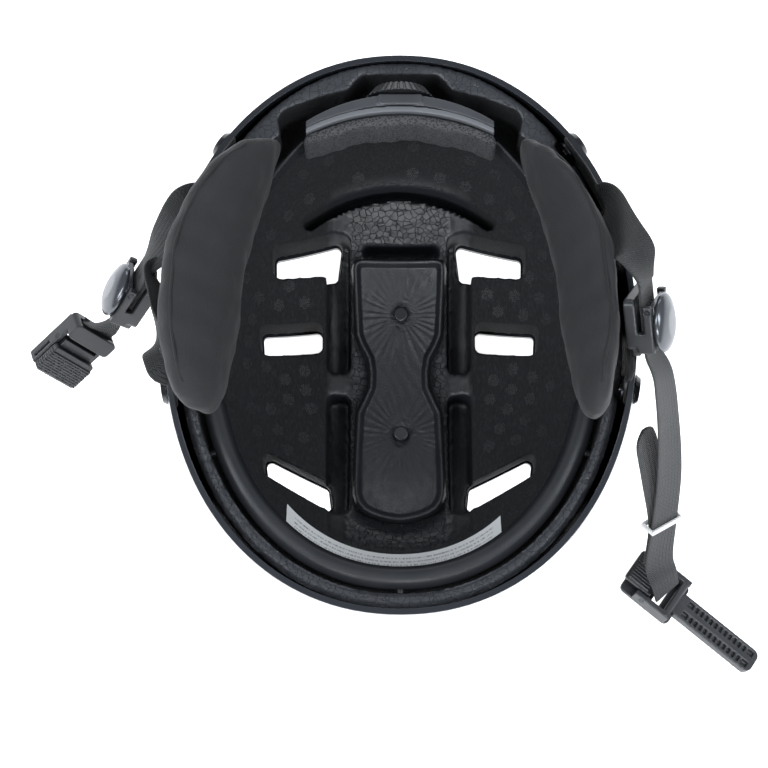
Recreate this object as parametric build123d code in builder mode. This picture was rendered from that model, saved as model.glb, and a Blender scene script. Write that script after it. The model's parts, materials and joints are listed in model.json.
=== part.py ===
from build123d import *
import os
from math import cos, pi, radians, sin, sqrt

# Water helmet, lying crown down with its head opening up.
# Millimetres. +Z out of the head opening, -Y the brow, +Y the nape, +X the wearer's right.
# Origin: centre of the small flat at the crown, which is what the helmet rests on.

# ---- driving dimensions -------------------------------------------------------------------
SHELL_HALF_WIDTH = 118.0        # outside, at the equator
SHELL_FRONT = 137.0             # outside, crown axis to brow
SHELL_REAR = 146.0              # outside, crown axis to nape
SHELL_EQUATOR = 106.0           # height of the widest section
SHELL_WALL = 3.0
PLAN_POWER = 2.1                # superellipse power of the plan outline
SIDE_POWER = 2.1                # superellipse power of the dome
TAPER_HEIGHT = 170.0            # the wall leans in above the equator on this scale
PLAN_POINTS = 32

LINER_HALF_WIDTH = 110.5        # foam, leaving room for webbing beside the shell
LINER_GAP = 0.4                 # foam to shell, at crown, brow and nape
CAVITY_HALF_WIDTH = 104.0       # head space
CAVITY_FRONT = 126.0
CAVITY_REAR = 124.0
CAVITY_DEPTH = 91.0
CAVITY_EQUATOR = 120.0
RECESS_SKIN = 11.0              # foam left under the channels

WEB_WIDTH = 20.0
WEB_THICKNESS = 1.6
SWING_GAP = 1.5                 # webbing left free on each side of a flex line
RIM_AXIS_HEIGHT = 149.5         # where the webbing folds over the rim

DOME_ANGLES = (5, 13, 23, 35, 48, 62, 77, 90)
SKIRT_RISES = (18, 36, 54)

os.makedirs("parts", exist_ok=True)


# ---- shape helpers ------------------------------------------------------------------------
def signed_power(value, power):
    """Power of the size of a number, keeping its sign."""
    return abs(value) ** power * (1 if value >= 0 else -1)


def oval_point(half_width, front, rear, turn):
    """Point of the plan superellipse, at an angle counted from +X."""
    length = rear if sin(turn) >= 0 else front
    across = half_width * signed_power(cos(turn), 2 / PLAN_POWER)
    return (across, length * signed_power(sin(turn), 2 / PLAN_POWER))


def bowl(half_width, front, rear, depth, equator, mode=Mode.ADD):
    """Loft a dome below the equator and a slowly closing skirt above it."""
    power = 2 / SIDE_POWER
    levels = []
    for angle in DOME_ANGLES:
        height = equator - depth * cos(radians(angle)) ** power
        levels.append((height, sin(radians(angle)) ** power))
    for rise in SKIRT_RISES:
        levels.append((equator + rise, sqrt(1 - (rise / TAPER_HEIGHT) ** 2)))
    sections = []
    for height, size in levels:
        turns = [2 * pi * i / PLAN_POINTS for i in range(PLAN_POINTS)]
        points = [oval_point(half_width * size, front * size, rear * size, t) for t in turns]
        with BuildSketch(Plane.XY.offset(height)) as section:
            with BuildLine():
                Spline(*points, periodic=True)
            make_face()
        sections.append(section.sketch)
    loft(sections, mode=mode)


def shell_bowl(inset, mode=Mode.ADD):
    """Bowl parallel to the outside of the shell, whose outer crown flat is at height zero."""
    depth = SHELL_EQUATOR / cos(radians(DOME_ANGLES[0])) ** (2 / SIDE_POWER)
    bowl(
        SHELL_HALF_WIDTH - inset,
        SHELL_FRONT - inset,
        SHELL_REAR - inset,
        depth - inset,
        SHELL_EQUATOR,
        mode,
    )


def cavity_bowl(inset, mode=Mode.ADD):
    """Bowl parallel to the head space."""
    bowl(
        CAVITY_HALF_WIDTH - inset,
        CAVITY_FRONT - inset,
        CAVITY_REAR - inset,
        CAVITY_DEPTH - inset,
        CAVITY_EQUATOR,
        mode,
    )


def cut_above(rim):
    """Remove everything above a side-view rim line, given as (y, z) points."""
    top = 260
    with BuildSketch(Plane.YZ) as side_view:
        with BuildLine():
            Spline(*rim)
            Polyline(rim[-1], (rim[-1][0], top), (rim[0][0], top), rim[0])
        make_face()
    extrude(side_view.sketch, amount=SHELL_HALF_WIDTH + 20, both=True, mode=Mode.SUBTRACT)


def cavity_width(y):
    """Half width of the head space at its rim."""
    length = CAVITY_REAR if y >= 0 else CAVITY_FRONT
    return CAVITY_HALF_WIDTH * (1 - abs(y / length) ** PLAN_POWER) ** (1 / PLAN_POWER)


def tilted(origin, along, facing):
    """Plane whose Y runs along a piece and whose Z points out of its face."""
    along = Vector(*along).normalized()
    facing = Vector(*facing)
    facing = (facing - along * along.dot(facing)).normalized()
    return Plane(origin=origin, x_dir=along.cross(facing), z_dir=facing)


def block(plane, size, heights, at=(0, 0), corner=0.0, mode=Mode.ADD):
    """Extrude a rectangle between two heights above a plane."""
    with BuildSketch(plane.offset(heights[0])) as outline:
        with Locations(at):
            if corner > 0:
                RectangleRounded(size[0], size[1], corner)
            else:
                Rectangle(size[0], size[1])
    extrude(outline.sketch, amount=heights[1] - heights[0], mode=mode)


def cross_bar(plane, radius, length, at, mode=Mode.ADD):
    """Round bar across a plane's width, at (distance along, height)."""
    start = plane.from_local_coords((-length / 2, at[0], at[1]))
    with BuildSketch(Plane(origin=start, x_dir=plane.y_dir, z_dir=plane.x_dir)) as end:
        Circle(radius)
    extrude(end.sketch, amount=length, mode=mode)


def ribbon(stations, width=WEB_WIDTH, thickness=WEB_THICKNESS):
    """Flat webbing through stations, each a centre and the direction of its width."""
    centres = [Vector(*centre) for centre, across in stations]
    sections = []
    for i in range(len(stations)):
        before = centres[max(i - 1, 0)]
        after = centres[min(i + 1, len(centres) - 1)]
        tangent = (after - before).normalized()
        across = Vector(*stations[i][1])
        across = (across - tangent * tangent.dot(across)).normalized()
        with BuildSketch(Plane(origin=centres[i], x_dir=across, z_dir=tangent)) as section:
            Rectangle(width, thickness)
        sections.append(section.sketch)
    loft(sections, ruled=True)


def moved(point, *steps):
    """Point shifted by (direction, distance) steps, as a tuple."""
    place = Vector(*point)
    for direction, distance in steps:
        place = place + Vector(*direction) * distance
    return (place.X, place.Y, place.Z)


# ---- outer shell --------------------------------------------------------------------------
UPPER_VENT = ((-67, 47), (-67, 63), (-30, 75), (-33, 53))
MIDDLE_VENT = ((-73, 6), (-74, 22), (-41, 28), (-41, 11))
FRONT_VENT = ((-70, -59), (-72, -45), (-37, -61), (-35, -78))
VENT_CORNER = 3.5
VENT_REVEAL = 0.8               # the shell stands into each foam vent by this much
VENT_TOP = 95.0                 # above the foam at every vent, below the far wall

SHELL_RIM = ((-160, 118), (-120, 121), (-70, 131), (-25, 144), (20, 147), (65, 142),
             (105, 134), (160, 131))

RIVET_HEIGHT = 127.0
RIVETS = (                      # side and y of each strap rivet
    (-1, 98.0),
    (1, 98.0),
    (-1, -27.0),
    (1, -27.0),
)
RIVET_CAP_RADIUS = 8.0
RIVET_CAP_HEIGHT = 2.6
RIVET_SHANK_RADIUS = 2.4
RIVET_SEAT = 0.6                # flat cut in the curved shell under each cap
RIVET_LENGTH = 8.0              # shank, from the underside of the cap
WASHER_RADIUS = 6.0
WASHER_THICKNESS = 1.0


def rivet_plane(side, y):
    """Plane on the outside of the shell, facing out, at a rivet."""
    length = SHELL_REAR if y >= 0 else SHELL_FRONT
    taper = sqrt(1 - ((RIVET_HEIGHT - SHELL_EQUATOR) / TAPER_HEIGHT) ** 2)
    ratio = abs(y / (length * taper))
    x = SHELL_HALF_WIDTH * taper * (1 - ratio ** PLAN_POWER) ** (1 / PLAN_POWER)
    slope_x = (x / SHELL_HALF_WIDTH) ** (PLAN_POWER - 1) / SHELL_HALF_WIDTH
    slope_y = signed_power(y / length, PLAN_POWER - 1) / length
    out = Vector(side * slope_x, slope_y, 0).normalized()
    return Plane(origin=(side * x, y, RIVET_HEIGHT), x_dir=(0, 0, 1), z_dir=out)


rivet_planes = [rivet_plane(side, y) for side, y in RIVETS]


def vents(inset, mode=Mode.SUBTRACT):
    """Cut the six vents along Z."""
    with BuildSketch(Plane.XY.offset(-5)) as openings:
        for side in (-1, 1):
            for corners in (UPPER_VENT, MIDDLE_VENT, FRONT_VENT):
                with BuildLine():
                    Polyline(*[(side * x, y) for x, y in corners], close=True)
                make_face()
        fillet(vertices(), VENT_CORNER)
        if inset > 0:
            offset(amount=-inset, mode=Mode.REPLACE)
    extrude(openings.sketch, amount=VENT_TOP, mode=mode)


with BuildPart() as outer_shell:
    shell_bowl(0)
    shell_bowl(SHELL_WALL, Mode.SUBTRACT)
    cut_above(SHELL_RIM)
    vents(VENT_REVEAL)
    for plane in rivet_planes:
        with BuildSketch(plane.offset(-RIVET_SEAT)):
            Circle(RIVET_CAP_RADIUS + 0.3)
        extrude(amount=3, mode=Mode.SUBTRACT)
        with BuildSketch(plane.offset(-SHELL_WALL * 2)):
            Circle(RIVET_SHANK_RADIUS + 0.1)
        extrude(amount=SHELL_WALL * 3, mode=Mode.SUBTRACT)
outer_shell.part.label = "outer_shell"
export_step(outer_shell.part, "parts/outer_shell.step")

# ---- brow band drivers, shared with the foam ----------------------------------------------
BAND_OUTER = (99.5, 121.5)      # half width and length of its outer face
BAND_INNER = (88.0, 110.5)
BAND_END_TURN = 0.23            # plan angle between each end and the X axis
BAND_POINTS = 13
BAND_HEIGHTS = (98.0, 119.0)
BAND_STUD_HEIGHT = 108.5
BAND_STUD_TURNS = (pi + 0.45, 1.5 * pi, 2 * pi - 0.45)


def band_stud_plane(turn):
    """Plane on the inner face of the band, facing out through the foam."""
    x, y = oval_point(BAND_INNER[0], BAND_INNER[1], BAND_INNER[1], turn)
    out = (x / BAND_INNER[0] ** 2, y / BAND_INNER[1] ** 2, 0)
    return Plane(origin=(x, y, BAND_STUD_HEIGHT), x_dir=(0, 0, 1), z_dir=out)


band_stud_planes = [band_stud_plane(turn) for turn in BAND_STUD_TURNS]
BAND_STUD_RADIUS = 2.0
BAND_STUD_REACH = (2.2, 19.0)   # along each stud's axis, from the band's inner face


# ---- foam liner ---------------------------------------------------------------------------
LINER_RIM = ((-160, 114), (-120, 116), (-60, 121), (0, 126), (60, 127), (110, 128), (160, 128))
CHANNEL_X = 32.5
CHANNEL_WIDTH = 13.0
CHANNEL_SPANS = ((0, 73), (-78, -12))
SLOT_CENTRE = (1, 65)
SLOT_SIZE = (40, 6.5)
CRESCENT = ((-48, 76), (0, 93), (48, 76))
CRESCENT_WIDTH = 6.0
POCKET_ARC = ((-57, 117), (0, 129), (57, 117))
POCKET_FLOOR = 98.0
DIAL_NOTCH = ((-27, 126), (-19, 135), (19, 135), (27, 126))
PIN_PLACES = ((1, 31), (1, -34))        # crown pad studs
PIN_RADIUS = 2.0
PIN_DEPTH = 12.0

with BuildPart() as recess_core:
    bowl(
        SHELL_HALF_WIDTH - RECESS_SKIN,
        SHELL_FRONT - RECESS_SKIN,
        SHELL_REAR - RECESS_SKIN,
        SHELL_EQUATOR - RECESS_SKIN,
        SHELL_EQUATOR,
    )
    with BuildSketch(Plane.XY):
        for side in (-1, 1):
            for low, high in CHANNEL_SPANS:
                with Locations((side * CHANNEL_X, (low + high) / 2)):
                    RectangleRounded(CHANNEL_WIDTH, high - low, 5)
        with Locations(SLOT_CENTRE):
            RectangleRounded(SLOT_SIZE[0], SLOT_SIZE[1], 1.5)
        with BuildLine(mode=Mode.PRIVATE) as crescent:
            ThreePointArc(*CRESCENT)
        SlotArc(crescent.edges()[0], CRESCENT_WIDTH)
    extrude(amount=90, mode=Mode.INTERSECT)

with BuildPart() as foam_liner:
    bowl(
        LINER_HALF_WIDTH,
        SHELL_FRONT - SHELL_WALL - LINER_GAP,
        SHELL_REAR - SHELL_WALL - LINER_GAP,
        SHELL_EQUATOR - SHELL_WALL - LINER_GAP,
        SHELL_EQUATOR,
    )
    cavity_bowl(0, Mode.SUBTRACT)
    cut_above(LINER_RIM)
    add(recess_core.part, mode=Mode.SUBTRACT)
    vents(0)
    with BuildSketch(Plane.XY.offset(POCKET_FLOOR)):
        with BuildLine():
            ThreePointArc(*POCKET_ARC)
            for side in (-1, 1):
                ThreePointArc((side * 57, 117), (side * 60.6, 113), (side * 60.5, 107))
            Polyline((60.5, 107), (57, 90), (-57, 90), (-60.5, 107))
        make_face()
        with BuildLine():
            Polyline(*DIAL_NOTCH, close=True)
        make_face()
    extrude(amount=40, mode=Mode.SUBTRACT)
    for plane in rivet_planes:
        with BuildSketch(plane.offset(-RIVET_LENGTH - 1.5)):
            Circle(WASHER_RADIUS + 1)
        extrude(amount=12, mode=Mode.SUBTRACT)
    for plane in band_stud_planes:
        with BuildSketch(plane.offset(10)):
            Circle(BAND_STUD_RADIUS + 0.05)
        extrude(amount=BAND_STUD_REACH[1] - 9.5, mode=Mode.SUBTRACT)
    with BuildSketch(Plane.XY.offset(PIN_DEPTH)):
        with Locations(*PIN_PLACES):
            Circle(PIN_RADIUS + 0.05)
    extrude(amount=40, mode=Mode.SUBTRACT)
foam_liner.part.label = "foam_liner"
export_step(foam_liner.part, "parts/foam_liner.step")

# ---- crown pad and its two press studs ----------------------------------------------------
PAD_THICKNESS = 7.0
PAD_CLEARANCE = 0.3
STUD_RADIUS = 4.0
STUD_TOP = (41.0, 41.5)         # height of each stud head
STUD_HEAD = 2.5


def crown_pad_outline():
    """Plan outline: a square-shouldered panel with a waist and a rounded front."""
    for side in (-1, 1):
        Line((0, 60.5), (side * 21, 60.5))
        RadiusArc((side * 21, 60.5), (side * 25, 56.5), side * 4)
        Line((side * 25, 56.5), (side * 23.5, 20))
        Spline(
            (side * 23.5, 20), (side * 16.5, 6), (side * 16.5, -8), (side * 22.5, -22),
            tangents=((0, -1), (0, -1)),
        )
        Line((side * 22.5, -22), (side * 24, -62))
        Spline(
            (side * 24, -62), (side * 20, -77), (0, -84),
            tangents=((0, -1), (-side, 0)),
        )


with BuildPart() as crown_pad:
    cavity_bowl(PAD_CLEARANCE)
    cavity_bowl(PAD_CLEARANCE + PAD_THICKNESS, Mode.SUBTRACT)
    with BuildSketch(Plane.XY.offset(20)):
        with BuildLine():
            crown_pad_outline()
        make_face()
    extrude(amount=70, mode=Mode.INTERSECT)
    for place, top in zip(PIN_PLACES, STUD_TOP):
        with BuildSketch(Plane.XY.offset(PIN_DEPTH)):
            with Locations(place):
                Circle(PIN_RADIUS + 0.05)
        extrude(amount=40, mode=Mode.SUBTRACT)
        with BuildSketch(Plane.XY.offset(top - STUD_HEAD)):
            with Locations(place):
                Circle(STUD_RADIUS + 0.3)
        extrude(amount=20, mode=Mode.SUBTRACT)
crown_pad.part.label = "crown_pad"
export_step(crown_pad.part, "parts/crown_pad.step")

with BuildPart() as crown_pad_studs:
    for place, top in zip(PIN_PLACES, STUD_TOP):
        with BuildSketch(Plane.XY.offset(PIN_DEPTH + 0.5)):
            with Locations(place):
                Circle(PIN_RADIUS)
        extrude(amount=top - STUD_HEAD - PIN_DEPTH - 0.5)
        with BuildSketch(Plane.XY.offset(top - STUD_HEAD)):
            with Locations(place):
                Circle(STUD_RADIUS)
        extrude(amount=STUD_HEAD)
    fillet(crown_pad_studs.edges().filter_by(GeomType.CIRCLE).sort_by(Axis.Z)[-2:], 1.0)
crown_pad_studs.part.label = "crown_pad_studs"
export_step(crown_pad_studs.part, "parts/crown_pad_studs.step")

# ---- blank information label --------------------------------------------------------------
with BuildPart() as info_label:
    cavity_bowl(0.1)
    cavity_bowl(0.6, Mode.SUBTRACT)
    with BuildSketch(Plane.XY.offset(64)):
        with Locations((-3, -100)):
            Rectangle(110, 50)
    extrude(amount=11, mode=Mode.INTERSECT)
info_label.part.label = "info_label"
export_step(info_label.part, "parts/info_label.step")

# ---- brow band and its studs --------------------------------------------------------------
def band_edge(size):
    """Points of one face of the band, from its left end round the brow to its right end."""
    first = pi + BAND_END_TURN
    last = 2 * pi - BAND_END_TURN
    turns = [first + (last - first) * i / (BAND_POINTS - 1) for i in range(BAND_POINTS)]
    return [oval_point(size[0], size[1], size[1], turn) for turn in turns]


with BuildPart() as brow_band:
    outer_edge = band_edge(BAND_OUTER)
    inner_edge = band_edge(BAND_INNER)[::-1]
    with BuildSketch(Plane.XY.offset(BAND_HEIGHTS[0])):
        with BuildLine():
            Spline(*outer_edge)
            for start, finish in ((outer_edge[-1], inner_edge[0]), (inner_edge[-1], outer_edge[0])):
                middle = ((start[0] + finish[0]) / 2, (start[1] + finish[1]) / 2 + 5.5)
                ThreePointArc(start, middle, finish)
            Spline(*inner_edge)
        make_face()
    extrude(amount=BAND_HEIGHTS[1] - BAND_HEIGHTS[0])
    fillet(brow_band.faces().sort_by(Axis.Z)[-1].edges(), 3.0)
    for plane in band_stud_planes:
        with BuildSketch(plane.offset(BAND_STUD_REACH[0] - 0.1)):
            Circle(BAND_STUD_RADIUS + 0.05)
        extrude(amount=20, mode=Mode.SUBTRACT)
brow_band.part.label = "brow_band"
export_step(brow_band.part, "parts/brow_band.step")

with BuildPart() as brow_band_studs:
    for plane in band_stud_planes:
        with BuildSketch(plane.offset(BAND_STUD_REACH[0])):
            Circle(BAND_STUD_RADIUS)
        extrude(amount=BAND_STUD_REACH[1] - BAND_STUD_REACH[0])
brow_band_studs.part.label = "brow_band_studs"
export_step(brow_band_studs.part, "parts/brow_band_studs.step")

# ---- side bands, from the brow band to the sliding cradle ---------------------------------
SIDE_BAND_HEIGHTS = (101.0, 114.0)
SIDE_BAND_WALL = 1.2
SIDE_BAND_ROUTE = ((91.5, -21), (92, -5), (91, 15), (88.5, 40))
ARM_ROUTE = ((88.8, 14), (85.8, 36), (77, 62), (64, 85), (49, 103))

for side, name in ((-1, "left"), (1, "right")):
    with BuildPart() as side_band:
        with BuildSketch(Plane.XY.offset(SIDE_BAND_HEIGHTS[0])):
            with BuildLine():
                Spline(*[(side * x, y) for x, y in SIDE_BAND_ROUTE])
            trace(line_width=SIDE_BAND_WALL)
        extrude(amount=SIDE_BAND_HEIGHTS[1] - SIDE_BAND_HEIGHTS[0])
    side_band.part.label = f"side_band_{name}"
    export_step(side_band.part, f"parts/side_band_{name}.step")

    with BuildPart() as cradle_arm:
        with BuildSketch(Plane.XY.offset(SIDE_BAND_HEIGHTS[0] + 1)):
            with BuildLine():
                Spline(*[(side * x, y) for x, y in ARM_ROUTE])
            trace(line_width=SIDE_BAND_WALL)
        extrude(amount=SIDE_BAND_HEIGHTS[1] - SIDE_BAND_HEIGHTS[0] + 2)
    cradle_arm.part.label = f"cradle_arm_{name}"
    export_step(cradle_arm.part, f"parts/cradle_arm_{name}.step")

# ---- rear cradle: housing, cover, pad, screws ---------------------------------------------
CRADLE_END = 47.0
CRADLE_HEIGHTS = (106.0, 136.0)
COVER_ARC = (108.0, 122.0)      # y at the ends and at the middle
PARTING_ARC = (104.5, 116.0)
HOUSING_ARC = (101.6, 113.0)
CRADLE_PAD_ARC = (95.3, 106.5)
RACK_SLOT = (114.0, 116.9)      # y of the flat space for the racks
RACK_SLOT_HALF = 25.5
AXLE_HEIGHT = 124.0
AXLE_RADIUS = 2.5
SCREW_X = 36.0
SCREW_RADIUS = 1.5


def arc_slab(rear, front, end, heights):
    """Slab between two plan arcs, each given by its y at the ends and at the middle."""
    with BuildSketch(Plane.XY.offset(heights[0])) as plan:
        with BuildLine():
            ThreePointArc((-end, rear[0]), (0, rear[1]), (end, rear[0]))
            Line((end, rear[0]), (end, front[0]))
            ThreePointArc((end, front[0]), (0, front[1]), (-end, front[0]))
            Line((-end, front[0]), (-end, rear[0]))
        make_face()
    extrude(plan.sketch, amount=heights[1] - heights[0])


def rack_space():
    """Cut the flat space that holds the racks and the pinion."""
    middle = (RACK_SLOT[0] + RACK_SLOT[1]) / 2
    with BuildSketch(Plane.XY.offset(AXLE_HEIGHT - 11.5)) as floor:
        with Locations((0, middle)):
            Rectangle(RACK_SLOT_HALF * 2, RACK_SLOT[1] - RACK_SLOT[0])
    extrude(floor.sketch, amount=23, mode=Mode.SUBTRACT)


def round_along_y(places, radius, reach, mode=Mode.ADD):
    """Round bars along Y between two y values, at (x, z) places."""
    with BuildSketch(Plane(origin=(0, reach[0], 0), x_dir=(-1, 0, 0), z_dir=(0, 1, 0))) as ends:
        with Locations(*[(-x, z) for x, z in places]):
            Circle(radius)
    extrude(ends.sketch, amount=reach[1] - reach[0], mode=mode)


SCREW_PLACES = [(side * SCREW_X, z) for side in (-1, 1) for z in (112, 130)]

with BuildPart() as cradle_housing:
    arc_slab(PARTING_ARC, HOUSING_ARC, CRADLE_END, CRADLE_HEIGHTS)
    rack_space()
    round_along_y(SCREW_PLACES, SCREW_RADIUS, (105.5, 125), Mode.SUBTRACT)
cradle_housing.part.label = "cradle_housing"
export_step(cradle_housing.part, "parts/cradle_housing.step")

with BuildPart() as cradle_cover:
    arc_slab(COVER_ARC, PARTING_ARC, CRADLE_END, CRADLE_HEIGHTS)
    rack_space()
    block(Plane.XY, (22, 5.4), (CRADLE_HEIGHTS[1] - 0.1, CRADLE_HEIGHTS[1] + 1.2), at=(0, 119.2),
          corner=1)
    round_along_y([(0, AXLE_HEIGHT)], AXLE_RADIUS + 0.3, (110, 125), Mode.SUBTRACT)
    round_along_y(SCREW_PLACES, SCREW_RADIUS, (105.5, 125), Mode.SUBTRACT)
    round_along_y(SCREW_PLACES, 2.8, (111.6, 125), Mode.SUBTRACT)
cradle_cover.part.label = "cradle_cover"
export_step(cradle_cover.part, "parts/cradle_cover.step")

with BuildPart() as cradle_screws:
    round_along_y(SCREW_PLACES, SCREW_RADIUS, (107.6, 111.7))
    round_along_y(SCREW_PLACES, 2.6, (111.7, 113.4))
cradle_screws.part.label = "cradle_screws"
export_step(cradle_screws.part, "parts/cradle_screws.step")

with BuildPart() as cradle_pad:
    arc_slab((HOUSING_ARC[0] - 0.9, HOUSING_ARC[1] - 0.3), CRADLE_PAD_ARC, 48.5, (104, 134))
    fillet(cradle_pad.edges().filter_by(Axis.Z), 2.0)
cradle_pad.part.label = "cradle_pad"
export_step(cradle_pad.part, "parts/cradle_pad.step")

# ---- fit dial, pinion, detent ring and racks ----------------------------------------------
MODULE = 1.25
PINION_TEETH = 10
PITCH_RADIUS = MODULE * PINION_TEETH / 2
TOOTH_PITCH = pi * MODULE
TOOTH_ADDENDUM = 0.65
TOOTH_ROOT = 1.1
GEAR_Y = (114.3, 116.6)
DIAL_Y = (122.9, 128.4)
DIAL_RADII = (17.6, 13.0)
DIAL_RIBS = 32
RIB_DEPTH = 0.9
RACK_BACK = 4.4                 # pitch line to the back of a rack
RACK_LENGTH = 34.0


def lobed_outline(radius):
    """Points of a ribbed circle."""
    points = []
    for i in range(DIAL_RIBS):
        for part, depth in ((0.0, 0), (0.5, 0), (0.62, RIB_DEPTH), (0.88, RIB_DEPTH)):
            turn = 2 * pi * (i + part) / DIAL_RIBS
            points.append(((radius - depth) * cos(turn), (radius - depth) * sin(turn)))
    return points


with BuildPart() as fit_dial:
    for y, radius in zip(DIAL_Y, DIAL_RADII):
        with BuildSketch(Plane(origin=(0, y, AXLE_HEIGHT), x_dir=(-1, 0, 0), z_dir=(0, 1, 0))):
            with BuildLine():
                Polyline(*lobed_outline(radius), close=True)
            make_face()
    loft(ruled=True)
    round_along_y([(0, AXLE_HEIGHT)], AXLE_RADIUS, (DIAL_Y[0] - 1, DIAL_Y[0] + 4), Mode.SUBTRACT)
fit_dial.part.label = "fit_dial"
export_step(fit_dial.part, "parts/fit_dial.step")

with BuildPart() as dial_pinion:
    root_radius = PITCH_RADIUS - TOOTH_ROOT
    round_along_y([(0, AXLE_HEIGHT)], root_radius, GEAR_Y)
    gear_face = Plane(origin=(0, GEAR_Y[0], AXLE_HEIGHT), x_dir=(-1, 0, 0), z_dir=(0, 1, 0))
    with BuildSketch(gear_face):
        with PolarLocations(0, PINION_TEETH):
            with BuildLine():
                Polyline(
                    (root_radius - 0.5, -1.0),
                    (PITCH_RADIUS, -0.62),
                    (PITCH_RADIUS + TOOTH_ADDENDUM, -0.3),
                    (PITCH_RADIUS + TOOTH_ADDENDUM, 0.3),
                    (PITCH_RADIUS, 0.62),
                    (root_radius - 0.5, 1.0),
                    close=True,
                )
            make_face()
    extrude(amount=GEAR_Y[1] - GEAR_Y[0])
    round_along_y([(0, AXLE_HEIGHT)], AXLE_RADIUS, (GEAR_Y[0], DIAL_Y[0] + 4))
dial_pinion.part.label = "dial_pinion"
export_step(dial_pinion.part, "parts/dial_pinion.step")

with BuildPart() as dial_detent_ring:
    round_along_y([(0, AXLE_HEIGHT)], 7.0, (122.05, 122.65))
    round_along_y([(0, AXLE_HEIGHT)], AXLE_RADIUS + 0.8, (121, 124), Mode.SUBTRACT)
dial_detent_ring.part.label = "dial_detent_ring"
export_step(dial_detent_ring.part, "parts/dial_detent_ring.step")

RACK_SPANS = {"left": (-25.0, 1), "right": (-9.0, -1)}
for name, (start, up) in RACK_SPANS.items():
    with BuildPart() as rack:
        with BuildSketch(Plane(origin=(0, GEAR_Y[1], 0), x_dir=(1, 0, 0), z_dir=(0, -1, 0))):
            pitch_line = AXLE_HEIGHT + up * PITCH_RADIUS
            back = pitch_line + up * RACK_BACK
            foot = pitch_line + up * TOOTH_ROOT
            with Locations((start + RACK_LENGTH / 2, (back + foot) / 2)):
                Rectangle(RACK_LENGTH, abs(back - foot))
            first_tooth = -int(-start / TOOTH_PITCH) if start < 0 else 0
            for i in range(first_tooth, first_tooth + int(RACK_LENGTH / TOOTH_PITCH)):
                x = i * TOOTH_PITCH
                tip = pitch_line - up * TOOTH_ADDENDUM
                with BuildLine():
                    Polyline(
                        (x - 1.0, foot + up * 0.1), (x - 0.3, tip),
                        (x + 0.3, tip), (x + 1.0, foot + up * 0.1),
                        close=True,
                    )
                make_face()
        extrude(amount=GEAR_Y[1] - GEAR_Y[0])
    rack.part.label = f"rack_{name}"
    export_step(rack.part, f"parts/rack_{name}.step")

# ---- ear pads -----------------------------------------------------------------------------
# Level: height, front y, rear y, outer face past the cavity wall, thickness.
EAR_PAD_FOOT = (
    (105, -10, 74, -2.4, 5.0),
    (118, -14, 82, -1.9, 9.0),
    (132, -38, 92, -0.6, 20.0),
)
EAR_PAD_LEVELS = {
    "left": EAR_PAD_FOOT + (        # leans out over the rim
        (147, -45, 95, 0.4, 25.0),
        (160, -47, 94, 5.4, 30.0),
        (171, -46, 91, 11.5, 34.0),
        (180, -41, 85, 10.5, 27.0),
        (187, -28, 74, 6.0, 13.0),
    ),
    "right": EAR_PAD_FOOT + (
        (150, -48, 95, -0.4, 25.0),
        (168, -50, 91, -0.6, 24.0),
        (180, -44, 82, -1.0, 18.0),
        (187, -28, 70, -2.0, 8.0),
    ),
}
EAR_PAD_POINTS = 10             # steps along each face
EAR_PAD_END_POWER = 0.75        # below 1 makes the ends squarer
FRONT_LEAN = 7.0                # how far the front end stands out towards the shell
FRONT_LEAN_RUN = 60.0
FRONT_LEAN_FLOOR = 130.0        # below this height the pad follows the foam


def ear_pad_face(side, level, bulge):
    """Plan points of a pad's outer (bulge 1) or inner (bulge -1) face, rear end first."""
    height, front, rear, outward, thickness = level
    points = []
    for i in range(EAR_PAD_POINTS + 1):
        turn = pi * i / EAR_PAD_POINTS
        reach = signed_power(cos(turn), EAR_PAD_END_POWER)
        swell = signed_power(max(sin(turn), 0.0), EAR_PAD_END_POWER)
        y = (front + rear) / 2 + (rear - front) / 2 * reach
        x = cavity_width(y) + outward - thickness / 2 + bulge * thickness / 2 * swell
        if height > FRONT_LEAN_FLOOR:
            x = x + FRONT_LEAN * max((10 - y) / FRONT_LEAN_RUN, 0) ** 2.5
        points.append((side * x, y))
    return points


for side, name in ((-1, "left"), (1, "right")):
    with BuildPart() as ear_pad:
        for level in EAR_PAD_LEVELS[name]:
            with BuildSketch(Plane.XY.offset(level[0])):
                with BuildLine():
                    Spline(*ear_pad_face(side, level, 1))
                    Spline(*ear_pad_face(side, level, -1)[::-1])
                make_face()
        loft()
    ear_pad.part.label = f"ear_pad_{name}"
    export_step(ear_pad.part, f"parts/ear_pad_{name}.step")

# ---- strap rivets and washers -------------------------------------------------------------
with BuildPart() as strap_rivets:
    for plane in rivet_planes:
        with BuildSketch(plane.offset(-RIVET_SEAT)):
            Circle(RIVET_CAP_RADIUS)
        extrude(amount=RIVET_CAP_HEIGHT, taper=35)
        with BuildSketch(plane.offset(-RIVET_SEAT)):
            Circle(RIVET_SHANK_RADIUS)
        extrude(amount=-(RIVET_LENGTH - RIVET_SEAT))
strap_rivets.part.label = "strap_rivets"
export_step(strap_rivets.part, "parts/strap_rivets.step")

with BuildPart() as rivet_washers:
    for plane in rivet_planes:
        with BuildSketch(plane.offset(-RIVET_LENGTH + 1.1)):
            Circle(WASHER_RADIUS)
            Circle(RIVET_SHANK_RADIUS, mode=Mode.SUBTRACT)
        extrude(amount=WASHER_THICKNESS)
rivet_washers.part.label = "rivet_washers"
export_step(rivet_washers.part, "parts/rivet_washers.step")

# ---- strap geometry shared by the two sides -----------------------------------------------
REAR_EXIT = (99.8, 62.0, RIM_AXIS_HEIGHT)       # right side, where the rear strap folds
FRONT_EXIT = (109.6, -20.0, RIM_AXIS_HEIGHT)
rim_line = (Vector(*REAR_EXIT) - Vector(*FRONT_EXIT)).normalized()
rim_line = (rim_line.X, rim_line.Y, rim_line.Z)
rim_out = (rim_line[1], -rim_line[0], 0)

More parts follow.
